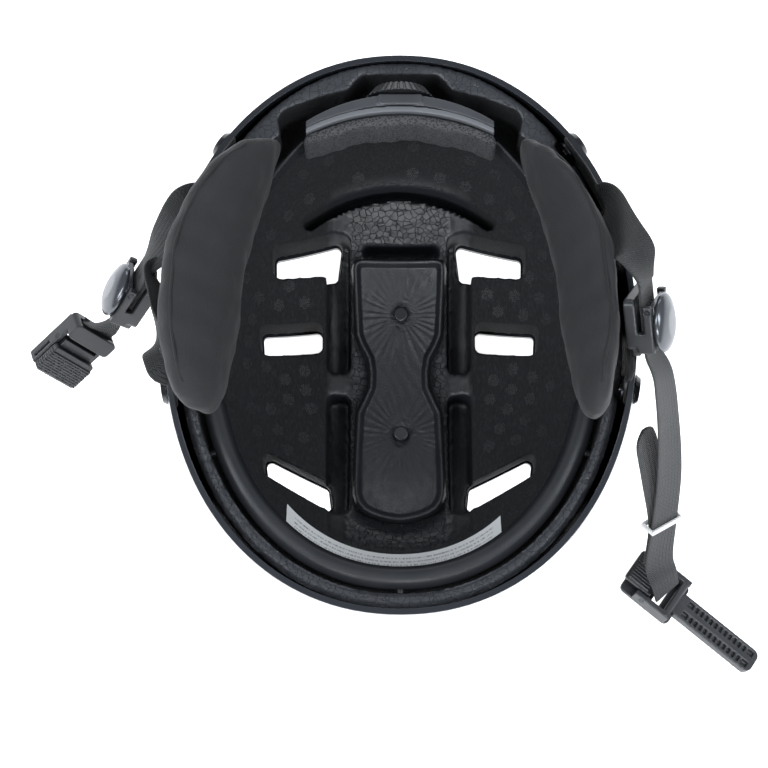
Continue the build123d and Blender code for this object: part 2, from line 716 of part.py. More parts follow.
DIVIDER_LENGTH = 30.0
DIVIDER_WIDTH = 26.0
LEFT_DIVIDER = tilted((-134.5, 24, 118), (-0.50, -0.50, -0.70), (-1, 0.3, 0.6))
RIGHT_DIVIDER = tilted((117.5, -1, 168), (0.14, -0.80, -0.58), (0.9, -0.1, 0.42))
BUCKLE = tilted((-168, 3, 80), (-0.724, -0.568, -0.395), (0.5, -0.5, 0.6))
TONGUE = tilted((135.5, -110, 16.5), (0.78, -0.62, -0.10), (0.2, 0.28, 0.94))


def mirrored(point):
    """The same point on the left side."""
    return (-point[0], point[1], point[2])


def as_tuple(vector):
    """Plain tuple of a vector."""
    return (vector.X, vector.Y, vector.Z)


# ---- webbing held between shell and foam --------------------------------------------------
ANCHOR_INSET = 4.2              # middle of the webbing below the outside of the shell
ANCHOR_ROUTES = (               # (y, height) stations, up to the rim
    ((98, 127), (81, 131), (66, 140), (62, 148)),
    ((-27, 127), (-23, 138), (-20, 148)),
)


def anchor_point(side, y, height):
    """Point inside the shell wall where the webbing lies."""
    taper = sqrt(1 - ((height - SHELL_EQUATOR) / TAPER_HEIGHT) ** 2)
    length = (SHELL_REAR if y >= 0 else SHELL_FRONT) * taper - ANCHOR_INSET
    half_width = SHELL_HALF_WIDTH * taper - ANCHOR_INSET
    x = half_width * (1 - abs(y / length) ** PLAN_POWER) ** (1 / PLAN_POWER)
    return Vector(side * x, y, height)


with BuildPart() as strap_anchors:
    for side in (-1, 1):
        for route in ANCHOR_ROUTES:
            points = [anchor_point(side, y, height) for y, height in route]
            stations = []
            for i in range(len(points)):
                run = points[min(i + 1, len(points) - 1)] - points[max(i - 1, 0)]
                out = Vector(points[i].X / SHELL_HALF_WIDTH, points[i].Y / SHELL_REAR, 0)
                stations.append((as_tuple(points[i]), as_tuple(out.cross(run))))
            ribbon(stations, width=WEB_WIDTH - 6)
    for plane in rivet_planes:
        with BuildSketch(plane.offset(-12)):
            Circle(RIVET_SHANK_RADIUS + 0.1)
        extrude(amount=12, mode=Mode.SUBTRACT)
strap_anchors.part.label = "strap_anchors"
export_step(strap_anchors.part, "parts/strap_anchors.step")

# ---- left straps --------------------------------------------------------------------------
def divider_entry(plane, height):
    """Two points that lead webbing into a divider, at a height above its middle plane."""
    edge = -DIVIDER_LENGTH / 2 - 0.4
    outside = as_tuple(plane.from_local_coords((0, edge - 6, height * 1.6)))
    inside = as_tuple(plane.from_local_coords((0, edge, height)))
    return (outside, inside)


left_line = mirrored(rim_line)
left_across = as_tuple(LEFT_DIVIDER.x_dir)
if left_across[1] * left_line[1] < 0:
    left_across = (-left_across[0], -left_across[1], -left_across[2])

with BuildPart() as left_rear_strap:
    lead, entry = divider_entry(LEFT_DIVIDER, 1.2)
    ribbon((
        (moved(mirrored(REAR_EXIT), ((0, 0, 1), SWING_GAP)), left_line),
        ((-105.5, 59.5, 152.5), left_line),
        ((-112.5, 55, 151), (-0.1, 0.95, 0.1)),
        ((-121.5, 46, 145), (-0.1, 0.9, 0.3)),
        (lead, left_across),
        (entry, left_across),
    ))
left_rear_strap.part.label = "left_rear_strap"
export_step(left_rear_strap.part, "parts/left_rear_strap.step")

with BuildPart() as left_front_strap:
    lead, entry = divider_entry(LEFT_DIVIDER, -1.0)
    ribbon((
        (moved(mirrored(FRONT_EXIT), ((0, 0, 1), SWING_GAP)), left_line),
        ((-114, -19.4, 153.5), left_line),
        ((-119.5, -6, 151.5), (-0.1, 0.95, -0.1)),
        ((-122, 16, 142), (-0.2, 0.9, -0.1)),
        (lead, left_across),
        (entry, left_across),
    ))
left_front_strap.part.label = "left_front_strap"
export_step(left_front_strap.part, "parts/left_front_strap.step")

# ---- right straps -------------------------------------------------------------------------
right_up = as_tuple(RIGHT_DIVIDER.x_dir)
right_down = tuple(-value for value in right_up)

with BuildPart() as right_rear_strap:
    lead, entry = divider_entry(RIGHT_DIVIDER, 0)
    ribbon((
        (moved(REAR_EXIT, ((0, 0, 1), SWING_GAP)), rim_line),
        ((103.5, 58, 157), (0.15, 0.95, 0.1)),
        ((108.5, 49, 165), (0.3, 0.85, 0.4)),
        ((113, 36, 173), (0.35, 0.7, 0.6)),
        (lead, right_up),
        (entry, right_up),
    ))
right_rear_strap.part.label = "right_rear_strap"
export_step(right_rear_strap.part, "parts/right_rear_strap.step")

with BuildPart() as right_front_strap:
    ribbon((
        (moved(FRONT_EXIT, ((0, 0, 1), SWING_GAP)), rim_line),
        ((110.6, -19.5, 155), (0, 0.9, -0.4)),
        ((111, -18, 159), (0, 0.85, -0.5)),
    ), width=WEB_WIDTH - 4)
right_front_strap.part.label = "right_front_strap"
export_step(right_front_strap.part, "parts/right_front_strap.step")

# ---- strap dividers: body, lever cap and pin ----------------------------------------------
DIVIDER_FLOOR = (-7.5, -2.2)     # inner arm, towards the helmet
DIVIDER_CHEEK = 3.0
CAP_HINGE = (-9.0, 4.0)         # distance along and height of the cap pin
CAP_PIN_RADIUS = 1.3
CAP_DOME = (                    # height, half width, half length
    (6.5, 12.0, 13.8),
    (8.2, 12.6, 14.5),
    (10.0, 10.8, 12.8),
    (11.6, 6.6, 8.6),
    (12.0, 2.0, 3.0),
)

for name, plane in (("left", LEFT_DIVIDER), ("right", RIGHT_DIVIDER)):
    with BuildPart() as divider_body:
        block(plane, (DIVIDER_WIDTH, DIVIDER_LENGTH - 4), DIVIDER_FLOOR, at=(0, -2), corner=3)
        block(plane, (DIVIDER_WIDTH - 4, 8), (-5.8, DIVIDER_FLOOR[1]), at=(0, 11), corner=2.5)
        for side in (-1, 1):
            cheek = side * (DIVIDER_WIDTH - DIVIDER_CHEEK) / 2
            block(plane, (DIVIDER_CHEEK, DIVIDER_LENGTH - 6), (DIVIDER_FLOOR[1], 6), at=(cheek, 0))
        block(plane, (DIVIDER_WIDTH + 2, 17), (-1.7, 1.9), at=(0, -6.6), mode=Mode.SUBTRACT)
        block(plane, (14, 9), (DIVIDER_FLOOR[0] - 1, DIVIDER_FLOOR[0] + 1.6), at=(0, -4), corner=2,
              mode=Mode.SUBTRACT)
        cross_bar(plane, CAP_PIN_RADIUS, DIVIDER_WIDTH + 2, CAP_HINGE, Mode.SUBTRACT)
    divider_body.part.label = f"{name}_divider_body"
    export_step(divider_body.part, f"parts/{name}_divider_body.step")

    with BuildPart() as divider_cap:
        inner_width = DIVIDER_WIDTH - 2 * DIVIDER_CHEEK - 0.8
        domes = []
        for height, half_width, half_length in CAP_DOME:
            with BuildSketch(plane.offset(height)) as level:
                with Locations((0, 1)):
                    Ellipse(half_width, half_length)
            domes.append(level.sketch)
        loft(domes)
        block(plane, (inner_width, 22), (3.0, 6.5), at=(0, 0))
        block(plane, (inner_width, 3), (2.2, 3.0), at=(0, -3))
        cross_bar(plane, CAP_PIN_RADIUS + 0.2, DIVIDER_WIDTH, CAP_HINGE, Mode.SUBTRACT)
        block(plane, (inner_width + 2, 6), (1, CAP_HINGE[1]), at=(0, CAP_HINGE[0] - 3),
              mode=Mode.SUBTRACT)
    divider_cap.part.label = f"{name}_divider_cap"
    export_step(divider_cap.part, f"parts/{name}_divider_cap.step")

    with BuildPart() as divider_pin:
        cross_bar(plane, CAP_PIN_RADIUS, DIVIDER_WIDTH, CAP_HINGE)
    divider_pin.part.label = f"{name}_divider_pin"
    export_step(divider_pin.part, f"parts/{name}_divider_pin.step")

# ---- left chin strap and ratchet buckle ---------------------------------------------------
BUCKLE_LENGTH = 34.0
BUCKLE_WIDTH = 27.0
RAIL = 2.4
RAIL_HEIGHTS = (-6.5, 1.5)
BUCKLE_BLOCK = (-7.5, -BUCKLE_LENGTH / 2)       # front and back of the strap block, along
LEVER_HINGE = (-2.2, -0.4)      # distance along and height of the lever pin
LEVER_PIN_RADIUS = 1.2

buckle_across = as_tuple(BUCKLE.x_dir)
if sum(buckle_across[i] * left_across[i] for i in range(3)) < 0:
    buckle_across = tuple(-value for value in buckle_across)

with BuildPart() as left_chin_strap:
    start = as_tuple(LEFT_DIVIDER.from_local_coords((0, DIVIDER_LENGTH / 2 + SWING_GAP, 0)))
    finish = as_tuple(BUCKLE.from_local_coords((0, -BUCKLE_LENGTH / 2 - 1.6, 0.6)))
    middle = tuple((start[i] + finish[i]) / 2 for i in range(3))
    halfway = tuple(left_across[i] + buckle_across[i] for i in range(3))
    ribbon(((start, left_across), (middle, halfway), (finish, buckle_across)))
left_chin_strap.part.label = "left_chin_strap"
export_step(left_chin_strap.part, "parts/left_chin_strap.step")

with BuildPart() as buckle_housing:
    for side in (-1, 1):
        rail_x = side * (BUCKLE_WIDTH - RAIL) / 2
        block(BUCKLE, (RAIL, BUCKLE_LENGTH - 3), RAIL_HEIGHTS, at=(rail_x, 1.5))
    block(BUCKLE, (BUCKLE_WIDTH - 1, BUCKLE_LENGTH - 4), (RAIL_HEIGHTS[0], -5.1), at=(0, 1.5))
    block(BUCKLE, (15, 17), (RAIL_HEIGHTS[0] - 1, -5), at=(0, 4.5), corner=2, mode=Mode.SUBTRACT)
    block(BUCKLE, (BUCKLE_WIDTH + 2, 11), (-2.6, -0.7), at=(0, 9), mode=Mode.SUBTRACT)
    strap_block = (BUCKLE_BLOCK[0] + BUCKLE_BLOCK[1]) / 2
    block(BUCKLE, (BUCKLE_WIDTH, BUCKLE_BLOCK[0] - BUCKLE_BLOCK[1]), (-5.6, 6.0),
          at=(0, strap_block), corner=2.5)
    block(BUCKLE, (21.4, 7), (-1.6, 3.2), at=(0, BUCKLE_BLOCK[1] + 2.5), mode=Mode.SUBTRACT)
    cross_bar(BUCKLE, LEVER_PIN_RADIUS, BUCKLE_WIDTH + 2, LEVER_HINGE, Mode.SUBTRACT)
buckle_housing.part.label = "buckle_housing"
export_step(buckle_housing.part, "parts/buckle_housing.step")

LEVER_LUG_WIDTH = BUCKLE_WIDTH - 2 * RAIL - 1.2
LEVER_TOP = 6.4
LEVER_RIBS = 9
LEVER_RIB_STEP = 1.5
with BuildPart() as release_lever:
    block(BUCKLE, (BUCKLE_WIDTH - 1, 17), (2.1, LEVER_TOP), at=(0, 8.5), corner=1.5)
    block(BUCKLE, (LEVER_LUG_WIDTH, 7.6), (-2.4, 3.4), at=(0, -0.8))
    block(BUCKLE, (LEVER_LUG_WIDTH - 8, 2.6), (-4.6, -2.0), at=(0, 1.4))
    for i in range(LEVER_RIBS):
        block(BUCKLE, (BUCKLE_WIDTH, 0.8), (2.6, LEVER_TOP + 0.7), at=(0, 3.6 + i * LEVER_RIB_STEP))
    cross_bar(BUCKLE, LEVER_PIN_RADIUS + 0.2, BUCKLE_WIDTH, LEVER_HINGE, Mode.SUBTRACT)
release_lever.part.label = "release_lever"
export_step(release_lever.part, "parts/release_lever.step")

with BuildPart() as release_lever_pin:
    cross_bar(BUCKLE, LEVER_PIN_RADIUS, BUCKLE_WIDTH, LEVER_HINGE)
release_lever_pin.part.label = "release_lever_pin"
export_step(release_lever_pin.part, "parts/release_lever_pin.step")

with BuildPart() as lever_spring:
    block(BUCKLE, (17, 3), (-5.1, -4.5), at=(0, 14.5))
    block(BUCKLE, (8, 11), (-5.1, -4.5), at=(0, 9.5), corner=1)
lever_spring.part.label = "lever_spring"
export_step(lever_spring.part, "parts/lever_spring.step")

# ---- right chin strap, its tail and elastic keeper ----------------------------------------
RIGHT_FOOT = as_tuple(RIGHT_DIVIDER.from_local_coords((0, DIVIDER_LENGTH / 2 + SWING_GAP, 0)))
CHIN_ROUTE = (
    (RIGHT_FOOT, right_down),
    ((126.5, -25, 147), (0.52, 0.5, -0.6)),
    ((132.5, -43, 117), (0.6, 0.55, -0.45)),
    ((136.5, -64, 85), (0.7, 0.5, -0.3)),
    ((137, -84, 58), (0.8, 0.45, -0.35)),
    ((137, -101, 35), (0.85, 0.45, -0.25)),
    ((140.5, -109.5, 26), (0.75, 0.6, -0.2)),
    ((143.0, -115.8, 17.8), (0.62, 0.78, 0)),
)
TAIL_TOP = (                    # loose upper end of the tail, standing off the chin strap
    ((120.5, -45, 114), (0.6, 0.55, -0.45)),
    ((128.5, -64, 86), (0.7, 0.5, -0.3)),
)
CHIN_WIDTH = 18.0
TAIL_OFFSET = 3.2               # middle of the tail behind the middle of the chin strap


def webbing_normal(route, index):
    """Unit normal of the webbing at one station of a route."""
    run = Vector(*route[index + 1][0]) - Vector(*route[index - 1][0])
    return run.cross(Vector(*route[index][1])).normalized()


with BuildPart() as right_chin_strap:
    ribbon(CHIN_ROUTE, width=CHIN_WIDTH)
right_chin_strap.part.label = "right_chin_strap"
export_step(right_chin_strap.part, "parts/right_chin_strap.step")

with BuildPart() as right_strap_tail:
    tail = list(TAIL_TOP)
    for index in (4, 5):
        centre, across = CHIN_ROUTE[index]
        normal = as_tuple(webbing_normal(CHIN_ROUTE, index))
        tail.append((moved(centre, (normal, -TAIL_OFFSET)), across))
    ribbon(tail, width=CHIN_WIDTH - 2)
right_strap_tail.part.label = "right_strap_tail"
export_step(right_strap_tail.part, "parts/right_strap_tail.step")

KEEPER_STATION = 4
keeper_normal = as_tuple(webbing_normal(CHIN_ROUTE, KEEPER_STATION))
keeper_run = Vector(*CHIN_ROUTE[5][0]) - Vector(*CHIN_ROUTE[3][0])
keeper_centre = moved(CHIN_ROUTE[KEEPER_STATION][0], (keeper_normal, -TAIL_OFFSET / 2))
keeper = tilted(keeper_centre, as_tuple(keeper_run), keeper_normal)
with BuildPart() as strap_keeper:
    block(keeper, (CHIN_WIDTH + 3, 3), (-4.4, 4.4), corner=1)
    block(keeper, (CHIN_WIDTH + 0.8, 5), (-3.4, 3.4), mode=Mode.SUBTRACT)
strap_keeper.part.label = "strap_keeper"
export_step(strap_keeper.part, "parts/strap_keeper.step")

# ---- buckle tongue and its cam lever ------------------------------------------------------
TONGUE_WIDTH = 14.0
TONGUE_START = 16.0
TONGUE_END = 70.0
TONGUE_HEIGHTS = (-5.0, -0.5)
HEAD_WIDTH = 27.0
HEAD_SPAN = (-12.0, 20.0)       # along the tongue
HEAD_CHEEK = 3.0
CAM_HINGE = (1.0, 0.0)
CAM_PIN_RADIUS = 1.4
TOOTH_COUNT = 12
TOOTH_STEP = 3.2
SLOT_X = 3.5                    # each toothed slot, off the centre line
SLOT_WIDTH = 3.6

with BuildPart() as buckle_tongue:
    middle = (TONGUE_START + TONGUE_END) / 2
    head_middle = (HEAD_SPAN[0] + HEAD_SPAN[1]) / 2
    head_length = HEAD_SPAN[1] - HEAD_SPAN[0]
    block(TONGUE, (TONGUE_WIDTH, TONGUE_END - TONGUE_START), TONGUE_HEIGHTS, at=(0, middle), corner=4)
    block(TONGUE, (HEAD_WIDTH, head_length), (-6, -4), at=(0, head_middle), corner=3)
    for side in (-1, 1):
        cheek = side * (HEAD_WIDTH - HEAD_CHEEK) / 2
        block(TONGUE, (HEAD_CHEEK, 22), (-4, 2.5), at=(cheek, 7))
    block(TONGUE, (16, 5), (-7, -3), at=(0, 8.5), mode=Mode.SUBTRACT)
    for side in (-1, 1):
        block(TONGUE, (SLOT_WIDTH, 44), (-3.0, 0), at=(side * SLOT_X, middle + 2), mode=Mode.SUBTRACT)
        for i in range(TOOTH_COUNT):
            along = middle + 2 + (i - (TOOTH_COUNT - 1) / 2) * TOOTH_STEP
            block(TONGUE, (SLOT_WIDTH, 1.6), (-3.0, -1.0), at=(side * SLOT_X, along))
    cross_bar(TONGUE, 2.2, HEAD_WIDTH - 1, (15.5, 0.6))
    cross_bar(TONGUE, CAM_PIN_RADIUS, HEAD_WIDTH + 4, CAM_HINGE, Mode.SUBTRACT)
buckle_tongue.part.label = "buckle_tongue"
export_step(buckle_tongue.part, "parts/buckle_tongue.step")

CAM_WIDTH = HEAD_WIDTH - 2 * HEAD_CHEEK - 1.0
with BuildPart() as cam_lever:
    block(TONGUE, (CAM_WIDTH, 17), (1.4, 3.4), at=(0, -5.5), corner=2)
    block(TONGUE, (CAM_WIDTH, 4.6), (-2.1, 1.6), at=(0, CAM_HINGE[0] - 0.2))
    for i in range(10):
        across = (i - 4.5) * 1.8
        block(TONGUE, (0.9, 13), (3.4, 4.2), at=(across, -6))
    cross_bar(TONGUE, CAM_PIN_RADIUS + 0.2, HEAD_WIDTH, CAM_HINGE, Mode.SUBTRACT)
cam_lever.part.label = "cam_lever"
export_step(cam_lever.part, "parts/cam_lever.step")

with BuildPart() as cam_lever_pin:
    cross_bar(TONGUE, CAM_PIN_RADIUS, HEAD_WIDTH, CAM_HINGE)
cam_lever_pin.part.label = "cam_lever_pin"
export_step(cam_lever_pin.part, "parts/cam_lever_pin.step")
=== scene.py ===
"""Looks of the water helmet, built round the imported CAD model. Shapes are in millimetres until make_mesh."""
import json
import random
from math import atan2, cos, exp, hypot, pi, radians, sin, sqrt

import bmesh
import bpy
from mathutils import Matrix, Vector, noise
from mathutils.bvhtree import BVHTree


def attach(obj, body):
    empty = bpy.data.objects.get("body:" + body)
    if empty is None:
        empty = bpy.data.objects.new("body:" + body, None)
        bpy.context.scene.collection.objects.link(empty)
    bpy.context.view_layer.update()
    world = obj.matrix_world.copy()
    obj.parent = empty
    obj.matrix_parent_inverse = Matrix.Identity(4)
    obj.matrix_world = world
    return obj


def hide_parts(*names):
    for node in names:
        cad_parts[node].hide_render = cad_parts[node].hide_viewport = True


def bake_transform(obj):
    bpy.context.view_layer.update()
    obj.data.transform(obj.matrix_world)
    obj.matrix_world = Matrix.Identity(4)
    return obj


MM = 0.001

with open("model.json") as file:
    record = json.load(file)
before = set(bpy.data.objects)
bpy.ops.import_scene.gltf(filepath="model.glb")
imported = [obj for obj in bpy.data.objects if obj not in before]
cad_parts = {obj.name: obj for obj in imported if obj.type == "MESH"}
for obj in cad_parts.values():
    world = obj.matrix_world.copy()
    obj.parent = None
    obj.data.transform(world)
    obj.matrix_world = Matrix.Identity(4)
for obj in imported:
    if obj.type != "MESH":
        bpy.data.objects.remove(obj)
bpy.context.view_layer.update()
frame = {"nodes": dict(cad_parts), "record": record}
nodes = frame["nodes"]
random.seed(7)

# ---- camera ----
CAMERA_TARGET = Vector((-0.008, -0.020, 0.106))
CAMERA_TILT = radians(11)           # away from straight down, towards the brow
CAMERA_DISTANCE = 1.070

camera_data = bpy.data.cameras.new("camera")
camera_data.lens = 100
camera_data.sensor_width = 36
camera = bpy.data.objects.new("camera", camera_data)
camera.location = CAMERA_TARGET + CAMERA_DISTANCE * Vector((0, -sin(CAMERA_TILT), cos(CAMERA_TILT)))
camera.rotation_euler = (CAMERA_TILT, 0, 0)
bpy.context.scene.collection.objects.link(camera)
bpy.context.scene.camera = camera
bpy.context.scene.view_settings.view_transform = "Standard"


# ---- mesh helpers ----
def make_mesh(name, points, faces, material, smooth=True):
    """Object from points in millimetres and faces, with its normals made consistent."""
    mesh = bpy.data.meshes.new(name)
    mesh.from_pydata([tuple(c * MM for c in p) for p in points], [], faces)
    build = bmesh.new()
    build.from_mesh(mesh)
    bmesh.ops.recalc_face_normals(build, faces=build.faces)
    build.to_mesh(mesh)
    build.free()
    mesh.polygons.foreach_set("use_smooth", [smooth] * len(mesh.polygons))
    mesh.materials.append(material)
    obj = bpy.data.objects.new(name, mesh)
    bpy.context.scene.collection.objects.link(obj)
    return obj


def skin(rings):
    """Quads between closed rings of equal length, with the first and last ring filled."""
    count = len(rings[0])
    faces = []
    for i in range(len(rings) - 1):
        low = i * count
        high = low + count
        for j in range(count):
            k = (j + 1) % count
            faces.append((low + j, low + k, high + k, high + j))
    last = (len(rings) - 1) * count
    faces.append(tuple(range(count))[::-1])
    faces.append(tuple(last + j for j in range(count)))
    return faces


BOX_FACES = [(0, 1, 3, 2), (4, 6, 7, 5), (0, 4, 5, 1), (2, 3, 7, 6), (0, 2, 6, 4), (1, 5, 7, 3)]
TUBE_SIDES = 8
TUBE_END = 0.45                     # radius of a tube's two ends as a share of its own


class Soup:
    """Gathers many small closed shapes into one mesh."""

    def __init__(self):
        self.points = []
        self.faces = []

    def add(self, points, faces):
        """One more shape, its faces numbered from its own first point."""
        start = len(self.points)
        self.points += [tuple(p) for p in points]
        self.faces += [tuple(start + index for index in face) for face in faces]

    def tube(self, path, radius):
        """Round tube along points, narrower at its two ends."""
        rings = []
        last = len(path) - 1
        normal = (path[1] - path[0]).normalized().orthogonal().normalized()
        for i, centre in enumerate(path):
            run = (path[min(i + 1, last)] - path[max(i - 1, 0)]).normalized()
            normal = (normal - run * normal.dot(run)).normalized()
            side = run.cross(normal)
            size = radius * TUBE_END if i in (0, last) else radius
            turns = [2 * pi * k / TUBE_SIDES for k in range(TUBE_SIDES)]
            rings.append([centre + (normal * cos(a) + side * sin(a)) * size for a in turns])
        self.add([p for ring in rings for p in ring], skin(rings))

    def box(self, centre, axes, sizes):
        """Box with half sizes along three axes."""
        x_half, y_half, z_half = (axis * size for axis, size in zip(axes, sizes))
        corners = [centre + x_half * i + y_half * j + z_half * k
                   for i in (-1, 1) for j in (-1, 1) for k in (-1, 1)]
        self.add(corners, BOX_FACES)

    def make(self, name, material, smooth=True):
        """The gathered shapes as one object."""
        return make_mesh(name, self.points, self.faces, material, smooth)


def smooth_path(points, steps):
    """Points of a Catmull-Rom curve through the given vectors."""
    result = []
    count = len(points)
    for i in range(count - 1):
        p0 = points[max(i - 1, 0)]
        p1 = points[i]
        p2 = points[i + 1]
        p3 = points[min(i + 2, count - 1)]
        for k in range(steps):
            t = k / steps
            result.append(0.5 * (2 * p1 + (p2 - p0) * t + (2 * p0 - 5 * p1 + 4 * p2 - p3) * t * t
                                 + (3 * p1 - p0 - 3 * p2 + p3) * t ** 3))
    result.append(points[-1].copy())
    return result


def place(obj, body, slot_name, *replaced):
    """Ride a new piece on a body and hide the CAD nodes it stands for; the slot name is not used."""
    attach(obj, body)
    if replaced:
        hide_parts(*replaced)
    return obj


# ---- material helpers ----
class Finish:
    """A Principled material and short ways to add nodes to it."""

    def __init__(self, name, color, roughness, **sockets):
        self.material = bpy.data.materials.new(name)
        self.material.use_nodes = True
        self.tree = self.material.node_tree
        self.surface = self.tree.nodes["Principled BSDF"]
        self.surface.inputs["Base Color"].default_value = (*color, 1)
        self.surface.inputs["Roughness"].default_value = roughness
        for key, value in sockets.items():
            self.surface.inputs[key.replace("_", " ")].default_value = value
        self.where = self.node("TexCoord").outputs["Object"]
        self.height = None

    def node(self, kind, settings=None, **sockets):
        """New shader node with settings (attributes) and sockets by name, or by number as i0, i1..."""
        made = self.tree.nodes.new("ShaderNode" + kind)
        for key, value in (settings or {}).items():
            setattr(made, key, value)
        for key, value in sockets.items():
            by_number = key[0] == "i" and key[1:].isdigit()
            socket = made.inputs[int(key[1:]) if by_number else key.replace("_", " ")]
            if isinstance(value, bpy.types.NodeSocket):
                self.tree.links.new(value, socket)
            else:
                socket.default_value = value
        return made

    def math(self, operation, a, b=0.0, c=0.0):
        """Output of a Math node."""
        return self.node("Math", {"operation": operation}, i0=a, i1=b, i2=c).outputs[0]

    def times(self, a, b):
        """Product of two values."""
        return self.math("MULTIPLY", a, b)

    def parts(self, vector):
        """The three parts of a vector."""
        return self.node("SeparateXYZ", Vector=vector).outputs

    def noise(self, scale, detail=2.0, rough=0.5, where=None):
        """Noise value."""
        made = self.node("TexNoise", Vector=where or self.where, Scale=scale, Detail=detail, Roughness=rough)
        return made.outputs["Fac"]

    def cells(self, scale, feature="F1", randomness=1.0, where=None):
        """Voronoi distance."""
        made = self.node("TexVoronoi", {"feature": feature}, Vector=where or self.where, Scale=scale,
                         Randomness=randomness)
        return made.outputs["Distance"]

    def stretched(self, scale, rotation=(0, 0, 0)):
        """Object position, scaled unevenly and turned."""
        return self.node("Mapping", Vector=self.where, Scale=scale, Rotation=rotation).outputs[0]

    def range(self, value, low, high, out_low=0.0, out_high=1.0):
        """Smooth map of a value from one range to another."""
        made = self.node("MapRange", {"interpolation_type": "SMOOTHSTEP"}, Value=value)
        for key, number in (("From Min", low), ("From Max", high), ("To Min", out_low), ("To Max", out_high)):
            made.inputs[key].default_value = number
        return made.outputs["Result"]

    def mix_colors(self, factor, a, b):
        """Colour between a and b."""
        made = self.node("Mix", {"data_type": "RGBA"})
        for index, value in ((0, factor), (6, a), (7, b)):
            if isinstance(value, bpy.types.NodeSocket):
                self.tree.links.new(value, made.inputs[index])
            elif index == 0:
                made.inputs[index].default_value = value
            else:
                made.inputs[index].default_value = (*value, 1)
        return made.outputs[2]

    def color(self, socket):
        """Drive the base colour."""
        self.tree.links.new(socket, self.surface.inputs["Base Color"])

    def roughness(self, socket):
        """Drive the roughness."""
        self.tree.links.new(socket, self.surface.inputs["Roughness"])

    def bump(self, height, distance, strength=1.0):
        """Add a bump in metres on top of the ones before."""
        made = self.node("Bump", Height=height, Distance=distance, Strength=strength)
        if self.height is not None:
            self.tree.links.new(self.height, made.inputs["Normal"])
        self.height = made.outputs["Normal"]
        self.tree.links.new(self.height, self.surface.inputs["Normal"])

    def soft_edges(self, radius):
        """Round the look of sharp moulded edges."""
        made = self.node("Bevel", {"samples": 4}, Radius=radius)
        self.height = made.outputs["Normal"]
        self.tree.links.new(self.height, self.surface.inputs["Normal"])


def shell_finish():
    """Gloss black moulded shell with faint handling marks."""
    it = Finish("shell_gloss", (0.013, 0.015, 0.019), 0.17, Coat_Weight=0.35, Coat_Roughness=0.06)
    it.soft_edges(0.0006)
    it.roughness(it.range(it.noise(45, 4, 0.6), 0.35, 0.75, 0.13, 0.27))
    it.bump(it.noise(420, 2), 0.00003)
    return it.material


# Where the liner's looks change, in metres: each is a range over which one look fades into the next.
MIDDLE_EDGE = (0.0385, 0.0435)      # |x| at the edge of the crown's recess
MIDDLE_TOP = (0.058, 0.068)         # height at which the recess ends
BEADS_EDGE = (0.0275, 0.0305)       # |x| past which the recess shows no beads
RIM_FLOOR = (0.110, 0.114)          # height at which the rim starts
SEAM_WARP = 0.0025                  # how far the seams between beads wander
FACING_UP = (0.45, 0.70)            # upward part of the normal: walls below it, floor and rim above it


def foam_finish():
    """Black expanded foam: fused glossy beads round the crown and on the rim, a fibrous skin elsewhere;
    painted highlights on convex edges, painted sheen on the recess walls and a partly painted lighter rim top.
    """
    it = Finish("foam_beads", (0.012, 0.012, 0.013), 0.7)
    x, _, z = it.parts(it.where)
    across = it.math("ADD", it.math("ABSOLUTE", x), it.times(it.noise(70, 3), 0.006))
    middle_here = it.times(it.range(across, *MIDDLE_EDGE, 1, 0), it.range(z, *MIDDLE_TOP, 1, 0))
    geometry = it.node("NewGeometry")
    up = it.range(it.parts(geometry.outputs["Normal"])[2], *FACING_UP)
    rim_here = it.times(it.range(z, *RIM_FLOOR), up)
    beads_here = it.times(it.times(middle_here, up), it.range(across, *BEADS_EDGE, 1, 0))
    walls_here = it.times(middle_here, it.math("SUBTRACT", 1.0, up))
    smooth_here = it.math("MAXIMUM", middle_here, rim_here)
    shift = it.node("TexNoise", Vector=it.where, Scale=160.0, Detail=2.0).outputs["Color"]
    warp = it.node("VectorMath", {"operation": "MULTIPLY_ADD"}, i0=shift, i1=(SEAM_WARP,) * 3, i2=it.where)
    seams = it.cells(300, "DISTANCE_TO_EDGE", where=warp.outputs[0])
    crack = it.range(seams, 0.0, 0.05)
    fibre = it.noise(900, 6, 0.72, where=it.stretched((1.0, 0.35, 1.0), (0.3, 0.2, 0.9)))
    fuzz = it.noise(2600, 3, 0.8)
    dark = it.mix_colors(it.range(fibre, 0.42, 0.72), (0.0045, 0.0050, 0.0060), (0.018, 0.019, 0.022))
    clear = it.mix_colors(crack, (0.0045, 0.0047, 0.0052), (0.015, 0.0158, 0.018))
    color = it.mix_colors(beads_here, dark, clear)
    # The recess walls get a lighter bluish grey: painted sheen standing in for light falling on the walls, not
    # the foam's own colour.
    color = it.mix_colors(walls_here, color, (0.014, 0.016, 0.021))
    # The upward faces of the rim are lighter: partly the real fused beads with darker seams, partly painted
    # light on the lit top of the rim.
    color = it.mix_colors(rim_here, color, it.mix_colors(crack, (0.016, 0.017, 0.020), (0.030, 0.032, 0.037)))
    # Convex edges, found by pointiness, are lightened: a painted highlight along every edge of the liner.
    edge_highlight = it.times(it.range(geometry.outputs["Pointiness"], 0.525, 0.62),
                    it.range(it.noise(260, 2), 0.35, 0.7, 0.15, 1.0))
    it.color(it.mix_colors(edge_highlight, color, (0.055, 0.059, 0.068)))
    smoother = it.range(smooth_here, 0.0, 1.0, 0.84, 0.42)
    it.roughness(it.math("ADD", smoother, it.times(walls_here, 0.2)))
    it.bump(it.times(crack, it.math("MAXIMUM", beads_here, rim_here)), 0.00022)
    rough_here = it.math("SUBTRACT", 1.0, smooth_here)
    it.bump(it.times(it.math("ADD", fibre, it.times(fuzz, 0.5)), rough_here), 0.0006)
    it.bump(it.noise(70, 2), 0.0006)
    return it.material


